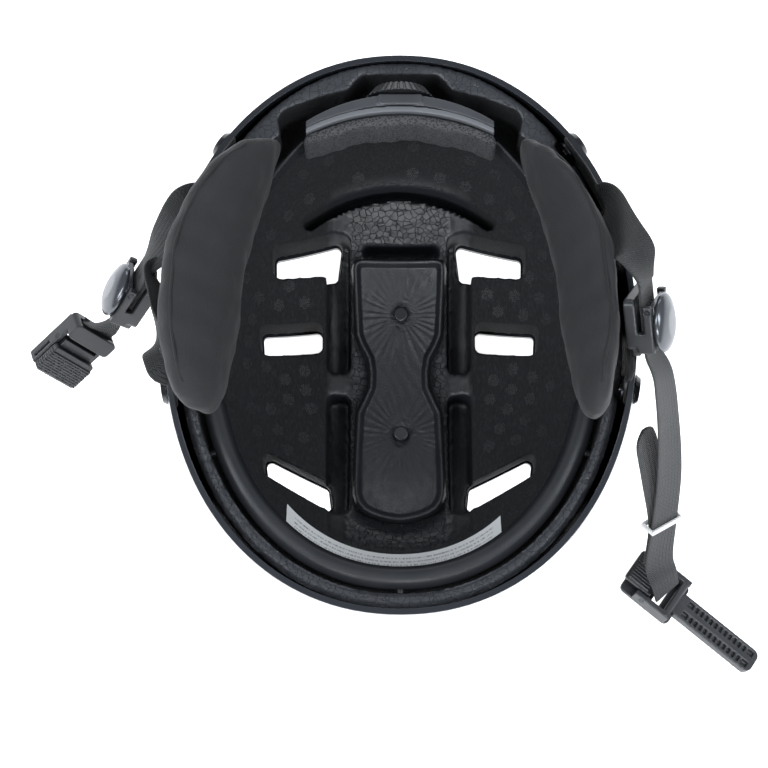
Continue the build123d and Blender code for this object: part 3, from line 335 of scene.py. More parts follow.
def mark_finish():
    """Moulding marks in the liner: a little lighter than the fibrous skin."""
    it = Finish("foam_marks", (0.022, 0.023, 0.025), 0.55)
    it.color(it.mix_colors(it.noise(700, 3), (0.012, 0.012, 0.013), (0.034, 0.035, 0.038)))
    it.bump(it.noise(1800, 2), 0.0001)
    return it.material


def knit_finish(name, tone, sheen):
    """Fine knitted fabric over foam."""
    it = Finish(name, tone, 0.78, Sheen_Weight=sheen, Sheen_Roughness=0.45)
    course, wale = (
        it.node("TexWave", {"wave_type": "BANDS", "bands_direction": axis}, Vector=it.where, Scale=scale,
                Distortion=1.5, Detail=1.0).outputs["Fac"]
        for axis, scale in (("Z", 420.0), ("Y", 460.0)))
    loops = it.times(course, wale)
    lighter = tuple(c * 1.9 for c in tone)
    it.color(it.mix_colors(it.times(loops, it.noise(40, 2)), tone, lighter))
    it.bump(loops, 0.00008)
    it.bump(it.noise(1900, 2), 0.0001)
    it.bump(it.noise(120, 3), 0.0004)
    return it.material


def skin_finish():
    """Moulded pad skin with a fine crease texture."""
    it = Finish("pad_skin", (0.015, 0.016, 0.0185), 0.44)
    it.roughness(it.range(it.noise(60, 3), 0.3, 0.7, 0.36, 0.52))
    it.bump(it.noise(500, 4, 0.6), 0.00012)
    it.bump(it.cells(900), 0.00008)
    return it.material


def band_finish():
    """Satin grey moulded band."""
    it = Finish("band_satin", (0.010, 0.011, 0.013), 0.46, Specular_IOR_Level=0.32)
    it.color(it.mix_colors(it.noise(90, 3), (0.008, 0.0088, 0.0105), (0.015, 0.016, 0.019)))
    it.roughness(it.range(it.noise(35, 3), 0.3, 0.7, 0.40, 0.54))
    it.bump(it.noise(900, 3), 0.00008)
    return it.material


def open_foam_finish():
    """Cut open-cell foam."""
    it = Finish("open_foam", (0.03, 0.03, 0.032), 0.88)
    pores = it.cells(900)
    it.color(it.mix_colors(it.range(pores, 0.15, 0.55), (0.006, 0.006, 0.007), (0.060, 0.060, 0.064)))
    it.bump(pores, 0.0006)
    it.bump(it.noise(140, 3), 0.0006)
    return it.material


def plastic_finish(name, tone, rough, grain=0.00003):
    """Satin moulded plastic with soft edges."""
    it = Finish(name, tone, rough)
    it.soft_edges(0.0005)
    it.roughness(it.range(it.noise(80, 4), 0.3, 0.7, rough - 0.06, rough + 0.08))
    it.bump(it.noise(1600, 3), grain)
    return it.material


def webbing_finish(name, tone, pitch=0.0011):
    """Woven webbing: staggered yarns that follow the strap through its UV map, in metres."""
    it = Finish(name, tone, 0.74, Sheen_Weight=0.15, Sheen_Roughness=0.5)
    uv = it.node("UVMap", {"uv_map": "strap"}).outputs[0]
    u, v, _ = it.parts(uv)
    across = it.math("DIVIDE", u, pitch)
    along = it.math("DIVIDE", v, pitch * 0.9)
    column = it.math("PINGPONG", across, 1.0)
    yarn = it.math("SINE", it.times(it.math("ADD", along, it.times(column, 0.5)), 2 * pi))
    rib = it.math("SINE", it.times(column, pi))
    height = it.math("ADD", it.times(yarn, 0.8), it.times(rib, 0.7))
    lighter = tuple(c * 2.3 for c in tone)
    grain = it.times(it.range(height, -0.5, 1.3), it.range(it.noise(700, 3), 0.3, 0.7, 0.45, 1.0))
    it.color(it.mix_colors(grain, tuple(c * 0.55 for c in tone), lighter))
    it.bump(height, 0.00016)
    it.bump(it.noise(2500, 2), 0.0001)
    return it.material


def cap_finish():
    """Smoked metallic gloss of the divider caps."""
    it = Finish("cap_gloss", (0.105, 0.110, 0.120), 0.20, Metallic=0.75)
    it.soft_edges(0.0005)
    it.bump(it.noise(90, 2), 0.00004)
    return it.material


def metal_finish(name, tone):
    """Brushed steel, plain or blackened."""
    it = Finish(name, tone, 0.32, Metallic=1.0)
    it.roughness(it.range(it.noise(900, 3, where=it.stretched((1, 12, 1))), 0.3, 0.7, 0.24, 0.42))
    it.bump(it.noise(1500, 2, where=it.stretched((1, 12, 1))), 0.00002)
    return it.material


LABEL_ROW = 0.0022                  # from one row of dashes to the next, in metres
LABEL_LOW = (0.0655, 0.0660)        # height at which the dashes start
LABEL_HIGH = (0.0728, 0.0733)       # and end
LABEL_HALF = (0.0505, 0.0512)       # |x| from its middle at which the rows end
LABEL_MIDDLE = -0.003
LABEL_PAPER = (0.74, 0.75, 0.75)
LABEL_INK = (0.10, 0.10, 0.11)


def label_finish():
    """Off-white film with plain grey dashes in rows, in place of any print."""
    it = Finish("label_film", LABEL_PAPER, 0.38)
    x, y, z = it.parts(it.where)
    row_here = it.range(it.math("SINE", it.times(z, 2 * pi / LABEL_ROW)), 0.15, 0.55)
    row_number = it.math("FLOOR", it.math("DIVIDE", z, LABEL_ROW))
    turn = it.math("ARCTAN2", x, y)

    def dashes(per_turn, per_row, scale, low, high):
        """Pieces of a row, from noise that differs from row to row."""
        spot = it.node("CombineXYZ", X=it.times(turn, per_turn), Y=it.times(row_number, per_row))
        return it.range(it.noise(scale, 0, where=spot.outputs[0]), low, high)

    words = dashes(100.0, 7.3, 1.1, 0.42, 0.50)
    strokes = dashes(420.0, 3.1, 1.0, 0.40, 0.52)
    inside = it.times(it.range(z, *LABEL_LOW), it.range(z, *LABEL_HIGH, 1, 0))
    ends = it.range(it.math("ABSOLUTE", it.math("SUBTRACT", x, LABEL_MIDDLE)), *LABEL_HALF, 1, 0)
    ink = it.times(it.times(row_here, it.times(words, strokes)), it.times(inside, ends))
    it.color(it.mix_colors(it.times(ink, 0.75), LABEL_PAPER, LABEL_INK))
    it.bump(it.noise(60, 2), 0.0001)
    return it.material


ELASTIC_RIB = 0.0007                # from rib to rib of the elastic, in metres


def elastic_finish():
    """White ribbed elastic."""
    it = Finish("white_elastic", (0.80, 0.80, 0.79), 0.6)
    ribs = it.math("SINE", it.times(it.parts(it.where)[2], 2 * pi / ELASTIC_RIB))
    it.color(it.mix_colors(it.range(ribs, -1, 1), (0.62, 0.62, 0.61), (0.86, 0.86, 0.85)))
    it.bump(ribs, 0.00008)
    return it.material


SHELL = shell_finish()
FOAM = foam_finish()
MARKS = mark_finish()
PAD_KNIT = knit_finish("pad_knit", (0.0062, 0.0064, 0.0074), 0.07)
PAD_GUSSET = knit_finish("pad_gusset", (0.0040, 0.0041, 0.0046), 0.03)
PAD_SKIN = skin_finish()
BAND = band_finish()
OPEN_FOAM = open_foam_finish()
PLASTIC = plastic_finish("plastic_satin", (0.016, 0.017, 0.019), 0.36)
CRADLE_PLASTIC = plastic_finish("plastic_cradle", (0.115, 0.120, 0.130), 0.42)
COVER_PLASTIC = plastic_finish("plastic_cover", (0.040, 0.042, 0.047), 0.40)
STRIP_PLASTIC = plastic_finish("plastic_strip", (0.022, 0.023, 0.026), 0.28)
GLOSS = plastic_finish("plastic_gloss", (0.007, 0.0075, 0.009), 0.10, 0.00001)
CAP_GLOSS = cap_finish()
TONGUE_PLASTIC = plastic_finish("plastic_tongue", (0.030, 0.031, 0.034), 0.34)
WEBBING = webbing_finish("webbing_main", (0.0115, 0.0120, 0.0125))
WEBBING_TAIL = webbing_finish("webbing_tail", (0.014, 0.0145, 0.015), 0.0014)
STEEL = metal_finish("steel", (0.52, 0.52, 0.54))
DARK_STEEL = metal_finish("dark_steel", (0.045, 0.047, 0.052))
LABEL = label_finish()
ELASTIC = elastic_finish()

NODE_FINISHES = {
    "shell": SHELL, "foam": FOAM, "hard_plastic": PLASTIC, "gloss_cap": GLOSS, "steel": STEEL,
    "label_film": LABEL, "elastic": ELASTIC, "pad_fabric": PAD_KNIT, "crown_pad_skin": PAD_SKIN,
    "band_cover": BAND, "cradle_foam": OPEN_FOAM, "webbing": WEBBING,
}
SPECIAL_FINISHES = {
    "cradle_housing": CRADLE_PLASTIC, "cradle_cover": COVER_PLASTIC, "buckle_tongue": TONGUE_PLASTIC,
    "side_band_left": STRIP_PLASTIC, "side_band_right": STRIP_PLASTIC,
    "cradle_arm_left": STRIP_PLASTIC, "cradle_arm_right": STRIP_PLASTIC,
    "left_divider_cap": CAP_GLOSS, "right_divider_cap": CAP_GLOSS,
    "left_divider_pin": DARK_STEEL, "right_divider_pin": DARK_STEEL,
    "release_lever_pin": DARK_STEEL, "cam_lever_pin": DARK_STEEL,
    "rivet_washers": DARK_STEEL, "brow_band_studs": BAND,
}
for part in frame["record"]["subparts"]:
    node = nodes[part["node"]]
    node.data.materials.clear()
    node.data.materials.append(SPECIAL_FINISHES.get(part["node"], NODE_FINISHES[part["material_slot"]]))

# ---- head space surface, and copies of CAD solids ----
POWER = 2.1                         # of every plan and dome superellipse
CAVITY_HALF_WIDTH = 104.0
CAVITY_FRONT = 126.0
CAVITY_REAR = 124.0
CAVITY_DEPTH = 91.0
CAVITY_EQUATOR = 120.0


def cavity_height(x, y, inset):
    """Height of the dome parallel to the head space, above a plan point."""
    length = (CAVITY_REAR if y >= 0 else CAVITY_FRONT) - inset
    size = (abs(x) / (CAVITY_HALF_WIDTH - inset)) ** POWER + (abs(y) / length) ** POWER
    return CAVITY_EQUATOR - (CAVITY_DEPTH - inset) * max(1 - size, 0.0) ** (1 / POWER)


def cavity_level(point):
    """1 on the wall of the head space, below 1 inside it."""
    length = CAVITY_REAR if point[1] >= 0 else CAVITY_FRONT
    size = (abs(point[0]) / CAVITY_HALF_WIDTH) ** POWER + (abs(point[1]) / length) ** POWER
    return size + (max(CAVITY_EQUATOR - point[2], 0) / CAVITY_DEPTH) ** POWER


def tree_of(obj):
    """Ray tree of an object's mesh, in metres."""
    mesh = obj.data
    return BVHTree.FromPolygons([v.co.copy() for v in mesh.vertices], [p.vertices[:] for p in mesh.polygons])


def apply_modifiers(obj):
    """Bake the modifiers into the mesh."""
    graph = bpy.context.evaluated_depsgraph_get()
    mesh = bpy.data.meshes.new_from_object(obj.evaluated_get(graph))
    obj.modifiers.clear()
    obj.data = mesh


def remeshed(node_name, name, material, voxel):
    """Copy of a CAD solid with small even facets."""
    obj = bpy.data.objects.new(name, nodes[node_name].data.copy())
    bpy.context.scene.collection.objects.link(obj)
    obj.data.materials.clear()
    obj.data.materials.append(material)
    remesh = obj.modifiers.new("remesh", "REMESH")
    remesh.mode = "VOXEL"
    remesh.voxel_size = voxel
    apply_modifiers(obj)
    return obj


def shade_smooth(obj):
    """Smooth shading on every face."""
    obj.data.polygons.foreach_set("use_smooth", [True] * len(obj.data.polygons))


def soften(obj, steps):
    """Round the corners of a remeshed solid."""
    smooth = obj.modifiers.new("soften", "SMOOTH")
    smooth.factor = 0.5
    smooth.iterations = steps
    apply_modifiers(obj)
    shade_smooth(obj)


# ---- foam liner: rounded edges and fused beads ----
FOAM_VOXEL = 0.0013                 # in metres, as every voxel here
BEAD_SIZE = 4.4                     # across one fused bead
BEAD_SEAM = 0.30                    # depth of the seams between beads
BEAD_SEAM_SHARE = 0.28              # width of a seam as a share of a bead
BEAD_CROWN = (28.5, 60.0)           # beads show within this |x| and below this height
BEAD_RIM = 110.0                    # and above this height
RIM_ROLL_FLOOR = 110.0              # the rim is rounded across its width above this height
RIM_ROLL_REAR = 60.0                # and in front of this y
RIM_ROLL_SPAN = 0.061               # width of the rim as a share of the head space
RIM_ROLL_DROP = 2.6                 # how far its two edges are lowered

foam_tree = tree_of(nodes["foam_liner"])
foam = remeshed("foam_liner", "foam_liner_beads", FOAM, FOAM_VOXEL)
soften(foam, 3)
normals = [v.normal.copy() for v in foam.data.vertices]
for vertex, normal in zip(foam.data.vertices, normals):
    x, y, z = vertex.co / MM
    if z > RIM_ROLL_FLOOR and y < RIM_ROLL_REAR:
        level = ((abs(x) / CAVITY_HALF_WIDTH) ** POWER + (abs(y) / CAVITY_FRONT) ** POWER) ** (1 / POWER)
        across = min(abs(2 * (level - 1) / RIM_ROLL_SPAN - 1), 1)
        vertex.co.z -= RIM_ROLL_DROP * across ** 2 * max(normal.z, 0) * MM
    if not (abs(x) < BEAD_CROWN[0] and z < BEAD_CROWN[1] or z > BEAD_RIM):
        continue
    near = noise.voronoi(Vector((x, y, z)) / BEAD_SIZE)[0]
    seam = max(1 - (near[1] - near[0]) / BEAD_SEAM_SHARE, 0)
    vertex.co -= normal * (BEAD_SEAM * seam * MM)
place(foam, "root", "foam", "foam_liner")

# ---- moulding marks in the liner ----
MARK_PITCH = 15.0
MARK_RADIUS = 3.2
MARK_REACH = 4.5                    # the wall has to be plain this far round a mark
MARK_DOT = 0.36                     # half size of one dot
MARK_DOT_HEIGHT = 0.16
MARK_DOT_PITCH = 1.12
MARK_ROW_SHARE = 0.87               # from row to row of dots, as a share of their pitch
MARK_JITTER = 0.15
MARK_DOTS = range(-3, 4)
MARK_SHARE = 0.82                   # share of the places that carry a mark
MARK_CENTRE = Vector((0, 0, 95))
MARK_TILTS = (0.32, 1.62)           # angles from straight down of the first ring of marks and past the last
MARK_RING_RADIUS = 110              # about the distance from the centre to the wall
MARK_RING_STEP = MARK_PITCH / 108   # angle from ring to ring
OPEN_WALL_TOP = 108                 # above this the wall runs into the rim
WALL_TOLERANCE = 0.05
RECESS_HALF_WIDTH, RECESS_TOP = 42, 62


def wall_hit(direction):
    """Point and normal of the foam in a direction from the middle of the head space, in mm."""
    hit, normal = foam_tree.ray_cast(MARK_CENTRE * MM, direction)[:2]
    if hit is None:
        return None
    if normal.dot(direction) > 0:
        normal = -normal
    return hit / MM, normal


def on_open_wall(point):
    """True where the foam wall is the plain head space surface."""
    in_recess = abs(point.x) < RECESS_HALF_WIDTH and point.z < RECESS_TOP
    on_wall = abs(cavity_level(point) - 1) < WALL_TOLERANCE
    return on_wall and point.z < OPEN_WALL_TOP and not in_recess


def plain_round(centre, normal, side, up):
    """True where the wall is plain on four sides of a point."""
    for a, b in ((1, 0), (-1, 0), (0, 1), (0, -1)):
        start = centre + (side * a + up * b) * MARK_REACH + normal * 3
        hit = foam_tree.ray_cast(start * MM, -normal)[0]
        if hit is None or not on_open_wall(hit / MM):
            return False
    return True


def add_mark(centre, normal, side, up):
    """A round patch of small dots, each with its own turn and size."""
    for k in MARK_DOTS:
        for m in MARK_DOTS:
            a = (k + 0.5 * (m % 2)) * MARK_DOT_PITCH + random.uniform(-MARK_JITTER, MARK_JITTER)
            b = m * MARK_DOT_PITCH * MARK_ROW_SHARE + random.uniform(-MARK_JITTER, MARK_JITTER)
            if hypot(a, b) > MARK_RADIUS:
                continue
            spin = random.uniform(0, pi)
            first = side * cos(spin) + up * sin(spin)
            second = normal.cross(first)
            half = MARK_DOT * random.uniform(0.7, 1.25)
            sizes = (half, half * 0.8, MARK_DOT_HEIGHT)
            marks.box(centre + side * a + up * b, (first, second, normal), sizes)


marks = Soup()
tilt, last_tilt = MARK_TILTS
row = 0
while tilt < last_tilt:
    ring_count = max(6, round(2 * pi * MARK_RING_RADIUS * sin(tilt) / MARK_PITCH))
    for i in range(ring_count):
        turn = 2 * pi * (i + 0.5 * (row % 2)) / ring_count
        found = wall_hit(Vector((sin(tilt) * cos(turn), sin(tilt) * sin(turn), -cos(tilt))))
        if not found or not on_open_wall(found[0]):
            continue
        centre, normal = found
        side = normal.cross(Vector((0, 0, 1))).normalized()
        up = side.cross(normal).normalized()
        if plain_round(centre, normal, side, up) and random.random() <= MARK_SHARE:
            add_mark(centre, normal, side, up)
    tilt += MARK_RING_STEP
    row += 1
place(marks.make("foam_marks", MARKS, smooth=False), "root", "foam")

# ---- crown pad ----
PAD_INSET = 7.3                     # of the pad's surface from the wall of the head space
PAD_UNDERSIDE_INSET = 0.6
PAD_ROWS = 240
PAD_COLUMNS = 84
PAD_TOP_Y = 60.2
PAD_BOTTOM_Y = -83.7
PAD_STUDS = ((1, 31), (1, -34))     # where the studs pull the pad in
PAD_EDGE_DROP, PAD_EDGE_WIDTH = 3.2, 1.6    # the edge falls away; inside it come a rim and a lower panel
PAD_RIM_HEIGHT, PAD_RIM_PLACE, PAD_RIM_WIDTH = 0.9, 2.2, 1.2
PAD_PANEL_DEPTH, PAD_PANEL_START, PAD_PANEL_SLOPE = 2.0, 3.0, 2.0
PAD_CREASE, PAD_CREASE_RADIUS, PAD_CREASE_REACH = 0.42, 9, 13   # creases run out from each stud
PAD_STUD_DEPTH, PAD_STUD_RADIUS = 1.0, 6.5
PAD_RIPPLE = 0.12
PAD_EDGES = (                   # (y, half width)
    (60.2, 19.0), (59.8, 21.4), (58.8, 23.4), (57.0, 24.8), (54, 25.4), (40, 24.8), (20, 23.9),
    (14, 21.6), (7, 17.8), (0, 16.7), (-8, 17.0), (-15, 20.0), (-22, 23.2), (-40, 24.0),
    (-60, 24.6), (-68, 24.4), (-73, 22.9), (-77, 20.0), (-80, 15.4), (-82, 10.0), (-83.2, 5.0), (-83.7, 1.5),
)


def pad_half_width(y):
    """Half width of the crown pad at a plan y."""
    for (y0, w0), (y1, w1) in zip(PAD_EDGES, PAD_EDGES[1:]):
        if y1 <= y <= y0:
            t = (y0 - y) / (y0 - y1)
            return w0 + (w1 - w0) * t
    return PAD_EDGES[-1][1]


pad_outline = [Vector((w, y, 0)) for y, w in PAD_EDGES]
pad_outline += [Vector((-w, y, 0)) for y, w in reversed(PAD_EDGES)]


def edge_distance(x, y):
    """Distance from a plan point to the pad's outline."""
    spot = Vector((x, y, 0))
    best = 1e9
    for i in range(len(pad_outline)):
        a = pad_outline[i]
        b = pad_outline[(i + 1) % len(pad_outline)]
        run = b - a
        t = min(max((spot - a).dot(run) / max(run.length_squared, 1e-9), 0), 1)
        best = min(best, (a + run * t - spot).length)
    return best


def hill(value, centre, width):
    """Smooth hill of height one."""
    return exp(-((value - centre) / width) ** 2)


def pad_relief(x, y):
    """Height of the pad skin over its base surface."""
    d = edge_distance(x, y)
    edge_drop = -PAD_EDGE_DROP * max(1 - d / PAD_EDGE_WIDTH, 0) ** 2
    rim = PAD_RIM_HEIGHT * hill(d, PAD_RIM_PLACE, PAD_RIM_WIDTH)
    inner = min(max((d - PAD_PANEL_START) / PAD_PANEL_SLOPE, 0), 1)
    panel = -PAD_PANEL_DEPTH * inner * inner * (3 - 2 * inner)
    relief = edge_drop + rim + panel
    for number, (cx, cy) in enumerate(PAD_STUDS):
        r = hypot(x - cx, y - cy)
        turn = atan2(y - cy, x - cx)
        waves = sin(turn * 31 + 1.7 * sin(turn * 3 + number)) * 0.6 + sin(turn * 47 + 2 * sin(turn * 5)) * 0.4
        relief += waves * PAD_CREASE * hill(r, PAD_CREASE_RADIUS, PAD_CREASE_REACH) * inner
        relief -= PAD_STUD_DEPTH * hill(r, 0, PAD_STUD_RADIUS)
    ripple = sin(x * 0.9 + 2.5 * sin(y * 0.11)) * sin(y * 0.35 + 1.3 * sin(x * 0.2))
    return relief + PAD_RIPPLE * ripple * inner


points = []
for i in range(PAD_ROWS + 1):
    t = i / PAD_ROWS
    y = PAD_TOP_Y + (PAD_BOTTOM_Y - PAD_TOP_Y) * (0.5 - 0.5 * cos(pi * t))
    half = pad_half_width(y)
    for j in range(PAD_COLUMNS + 1):
        u = sin((j / PAD_COLUMNS - 0.5) * pi)
        x = half * u
        points.append((x, y, cavity_height(x, y, PAD_INSET) + pad_relief(x, y)))
width = PAD_COLUMNS + 1
faces = []
for i in range(PAD_ROWS):
    for j in range(PAD_COLUMNS):
        a = i * width + j
        faces.append((a, a + 1, a + width + 1, a + width))
rim_loop = list(range(width))
rim_loop += [i * width + PAD_COLUMNS for i in range(1, PAD_ROWS + 1)]
rim_loop += [PAD_ROWS * width + j for j in range(PAD_COLUMNS - 1, -1, -1)]
rim_loop += [i * width for i in range(PAD_ROWS - 1, 0, -1)]
low_loop = []
for index in rim_loop:
    x, y, z = points[index]
    low_loop.append(len(points))
    points.append((x, y, cavity_height(x, y, PAD_UNDERSIDE_INSET)))
for i in range(len(rim_loop)):
    k = (i + 1) % len(rim_loop)
    faces.append((rim_loop[i], low_loop[i], low_loop[k], rim_loop[k]))
crown_pad = make_mesh("crown_pad_skin", points, faces, PAD_SKIN)
place(crown_pad, "root", "crown_pad_skin", "crown_pad")

# ---- brow band ----
BAND_OUTER = (101.3, 123.6)
BAND_INNER = (89.7, 112.2)
BAND_LOW, BAND_TOP = 98.2, 118.8
BAND_CAMBER = 2.6
BAND_UNDERCUT = 0.02
BAND_STEPS = 220
BAND_SIDES = 40
BAND_FIRST, BAND_LAST = pi + 0.20, 2 * pi - 0.20
BAND_LENGTH = 245                   # about, from end to end
BAND_END_ROUND = 6.0                # the two ends close over this length


def signed_power(value, power):
    """Power of the size of a number, keeping its sign."""
    return abs(value) ** power * (1 if value >= 0 else -1)


def oval(half_width, length, turn):
    """Point of a plan superellipse."""
    return (half_width * signed_power(cos(turn), 2 / POWER), length * signed_power(sin(turn), 2 / POWER))


def end_round(distance, length, floor=0.0):
    """Share of full size at a distance from a rounded end."""
    return sqrt(max(1 - max(1 - distance / length, 0) ** 2, floor))


rings = []
for i in range(BAND_STEPS + 1):
    t = i / BAND_STEPS
    turn = BAND_FIRST + (BAND_LAST - BAND_FIRST) * t
    ox, oy = oval(*BAND_OUTER, turn)
    ix, iy = oval(*BAND_INNER, turn)
    close = end_round(BAND_LENGTH * min(t, 1 - t), BAND_END_ROUND)
    ring = []
    for k in range(BAND_SIDES):
        a = 2 * pi * k / BAND_SIDES
        s = 0.5 + 0.5 * close * signed_power(cos(a), 0.5)
        lift = signed_power(sin(a), 0.45)
        z = (BAND_LOW + BAND_TOP) / 2 + (BAND_TOP - BAND_LOW) / 2 * lift * (0.55 + 0.45 * close)
        if sin(a) > 0:
            z -= BAND_CAMBER * abs(2 * s - 0.9) ** 2.2
        under = 1 - BAND_UNDERCUT * max(-sin(a), 0) * s
        ring.append(((ix + (ox - ix) * s) * under, (iy + (oy - iy) * s) * under, z))
    rings.append(ring)
brow_band = make_mesh("brow_band_cover", [p for ring in rings for p in ring], skin(rings), BAND)
place(brow_band, "root", "band_cover", "brow_band")

# ---- cradle pad ----
CRADLE_BACK_ARC = (100.9, 112.5)    # y at the ends and in the middle
CRADLE_FRONT_ARC = (95.6, 106.6)
CRADLE_HALF = 48.2
CRADLE_LOW, CRADLE_TOP = 104.4, 133.8
CRADLE_STEPS = 120
CRADLE_SIDES = 28
CRADLE_END_ROUND = 3.0


def arc_y(arc, x):
    """y of one of the pad's plan arcs."""
    return arc[0] + (arc[1] - arc[0]) * (1 - (x / CRADLE_HALF) ** 2)


rings = []
for i in range(CRADLE_STEPS + 1):
    x = -CRADLE_HALF + 2 * CRADLE_HALF * i / CRADLE_STEPS
    back = arc_y(CRADLE_BACK_ARC, x)
    front = arc_y(CRADLE_FRONT_ARC, x) + 0.5 * sin(x * 0.23) + 0.25 * sin(x * 0.71 + 1)
    close = end_round(CRADLE_HALF - abs(x), CRADLE_END_ROUND, 0.03)
    middle = (back + front) / 2
    half_height = (CRADLE_TOP - CRADLE_LOW) / 2 * (0.8 + 0.2 * close)
    ring = []
    for k in range(CRADLE_SIDES):
        a = 2 * pi * k / CRADLE_SIDES
        y = middle + (back - front) / 2 * close * signed_power(cos(a), 0.35)
        z = (CRADLE_LOW + CRADLE_TOP) / 2 + half_height * signed_power(sin(a), 0.3)
        ring.append((x, y, z + 0.3 * sin(x * 0.5) * (1 if sin(a) < 0 else 0.3)))
    rings.append(ring)
cradle_pad = make_mesh("cradle_pad_foam", [p for ring in rings for p in ring], skin(rings), OPEN_FOAM)
place(cradle_pad, "cradle", "cradle_foam", "cradle_pad")

# ---- ear pads ----
EAR_VOXEL = 0.0035                  # these three in metres
EAR_SHRINK = 0.0016                 # taken off all round before the pad swells
EAR_SWELL = 0.0034                  # the farthest that a point may then move
EAR_PRESSURE = 4.0
CLOTH_FRAMES = 20
SEAM_SETBACK = 6.0
SEAM_RANGE = (84, -34)              # y of the seam's two ends
SEAM_COUNT = 12
SEAM_RADIUS = 0.8
PROBE_HEIGHT = 230                  # rays down on the pads start here
PROBE_START, PROBE_COUNT = 122, 60  # |x| of the first probe, and how many 1 mm steps inwards


def inflate(obj, pressure, cap):
    """Swell a closed mesh with Cloth, moving no point farther than cap."""
    rest = [v.co.copy() for v in obj.data.vertices]
    cloth = obj.modifiers.new("swell", "CLOTH")
    settings = cloth.settings
    settings.use_pressure = True
    settings.uniform_pressure_force = pressure
    settings.effector_weights.gravity = 0
    settings.quality = 6
    for number in range(1, CLOTH_FRAMES + 1):
        bpy.context.scene.frame_set(number)
    seen = obj.evaluated_get(bpy.context.evaluated_depsgraph_get()).to_mesh()
    swollen = [v.co.copy() for v in seen.vertices]
    obj.modifiers.remove(cloth)
    bpy.context.scene.frame_set(1)
    for vertex, start, end in zip(obj.data.vertices, rest, swollen):
        move = end - start
        if move.length > cap:
            move = move * (cap / move.length)
        vertex.co = start + move


def pad_from_node(node_name, name):
    """Soft pad made from a CAD solid: remeshed, shrunk a little, swollen and smoothed."""
    obj = remeshed(node_name, name, PAD_KNIT, EAR_VOXEL)
    for vertex, normal in [(v, v.normal.copy()) for v in obj.data.vertices]:
        vertex.co -= normal * EAR_SHRINK
    inflate(obj, EAR_PRESSURE, EAR_SWELL)
    smooth = obj.modifiers.new("smooth", "CORRECTIVE_SMOOTH")
    smooth.iterations = 6
    smooth.use_only_smooth = True
    obj.modifiers.new("round", "SUBSURF").levels = 1
    apply_modifiers(obj)
    shade_smooth(obj)
    return obj


def pucker(obj, side):
    """Low folds all over a pad."""
    for vertex in obj.data.vertices:
        x, y, z = vertex.co / MM
        wave = 0.30 * sin(y * 0.16 + z * 0.05) + 0.22 * sin(y * 0.37 - z * 0.21 + side)
        wave += 0.16 * sin(z * 0.45 + 1.7 * sin(y * 0.12))
        vertex.co += vertex.normal * (wave * MM)


def top_at(tree, x, y):
    """Highest point of a pad above a plan point, in metres, or None."""
    return tree.ray_cast(Vector((x, y, PROBE_HEIGHT)) * MM, Vector((0, 0, -1)))[0]


def seam_path(tree, side):
    """Points on the top of a pad, set back from its outer edge."""
    path = []
    for i in range(SEAM_COUNT):
        y = SEAM_RANGE[0] + (SEAM_RANGE[1] - SEAM_RANGE[0]) * i / (SEAM_COUNT - 1)
        probes = (PROBE_START - k for k in range(PROBE_COUNT))
        outermost = next(x for x in probes if top_at(tree, side * x, y) is not None)
        wobble = 0.4 * sin(y * 0.06 + side)
        path.append(top_at(tree, side * (outermost - SEAM_SETBACK + wobble), y) / MM)
    return path


for side, name in ((-1, "left"), (1, "right")):
    pad = pad_from_node(f"ear_pad_{name}", f"ear_pad_{name}_fabric")
    pucker(pad, side)
    seam = Soup()
    seam.tube(smooth_path(seam_path(tree_of(pad), side), 12), SEAM_RADIUS)
    piping = seam.make(f"ear_pad_{name}_piping", PAD_GUSSET)
    place(pad, "root", "pad_fabric", f"ear_pad_{name}")
    place(piping, "root", "pad_fabric")


# ---- moulded fittings with softened corners ----
FITTINGS = (                    # CAD node, body, finish, voxel in metres, smoothing steps
    ("left_divider_body", "left_strap", PLASTIC, 0.00042, 8),
    ("right_divider_body", "right_strap", PLASTIC, 0.00042, 8),
    ("buckle_housing", "left_buckle", PLASTIC, 0.00036, 3),
    ("release_lever", "release_lever", PLASTIC, 0.00030, 1),
    ("buckle_tongue", "right_tongue", TONGUE_PLASTIC, 0.00034, 2),
    ("cam_lever", "cam_lever", PLASTIC, 0.00030, 1),
    ("cradle_housing", "cradle", CRADLE_PLASTIC, 0.00065, 4),
    ("cradle_cover", "cradle", COVER_PLASTIC, 0.00065, 3),
)
for node_name, body, finish, voxel, steps in FITTINGS:
    fitting = remeshed(node_name, f"{node_name}_moulded", finish, voxel)
    soften(fitting, steps)
    place(fitting, body, "hard_plastic", node_name)


# ---- straps ----
def tilted(origin, along, facing):
    """Local frame of a harness fitting: a function from local to world millimetres, and its x axis."""
    y_dir = Vector(along).normalized()
    z_dir = Vector(facing)
    z_dir = (z_dir - y_dir * z_dir.dot(y_dir)).normalized()
    x_dir = y_dir.cross(z_dir)
    start = Vector(origin)

    def at(x, y, z):
        return start + x_dir * x + y_dir * y + z_dir * z

    return at, x_dir


LEFT_DIVIDER = tilted((-134.5, 24, 118), (-0.50, -0.50, -0.70), (-1, 0.3, 0.6))
RIGHT_DIVIDER = tilted((117.5, -1, 168), (0.14, -0.80, -0.58), (0.9, -0.1, 0.42))
BUCKLE = tilted((-168, 3, 80), (-0.724, -0.568, -0.395), (0.5, -0.5, 0.6))
REAR_EXIT = Vector((99.8, 62.0, 149.5))
FRONT_EXIT = Vector((109.6, -20.0, 149.5))
WEB_WIDTH = 20.0
WEB_THICKNESS = 1.6
WEB_COLUMNS = 40
WEB_STEPS = 14                      # rings from one station to the next
WEB_RIBS = 9                        # low ribs on each half of the width
WEB_RIB_HEIGHT = 0.03
WEB_RIB_FLOOR = 0.1                 # no ribs where half the thickness is below this
WEB_CUP = 0.25                      # how far the edges curl up
TIP_STEPS = 8
TIP_SHARE = 0.08                    # least width of a rounded end, as a share of the strap's
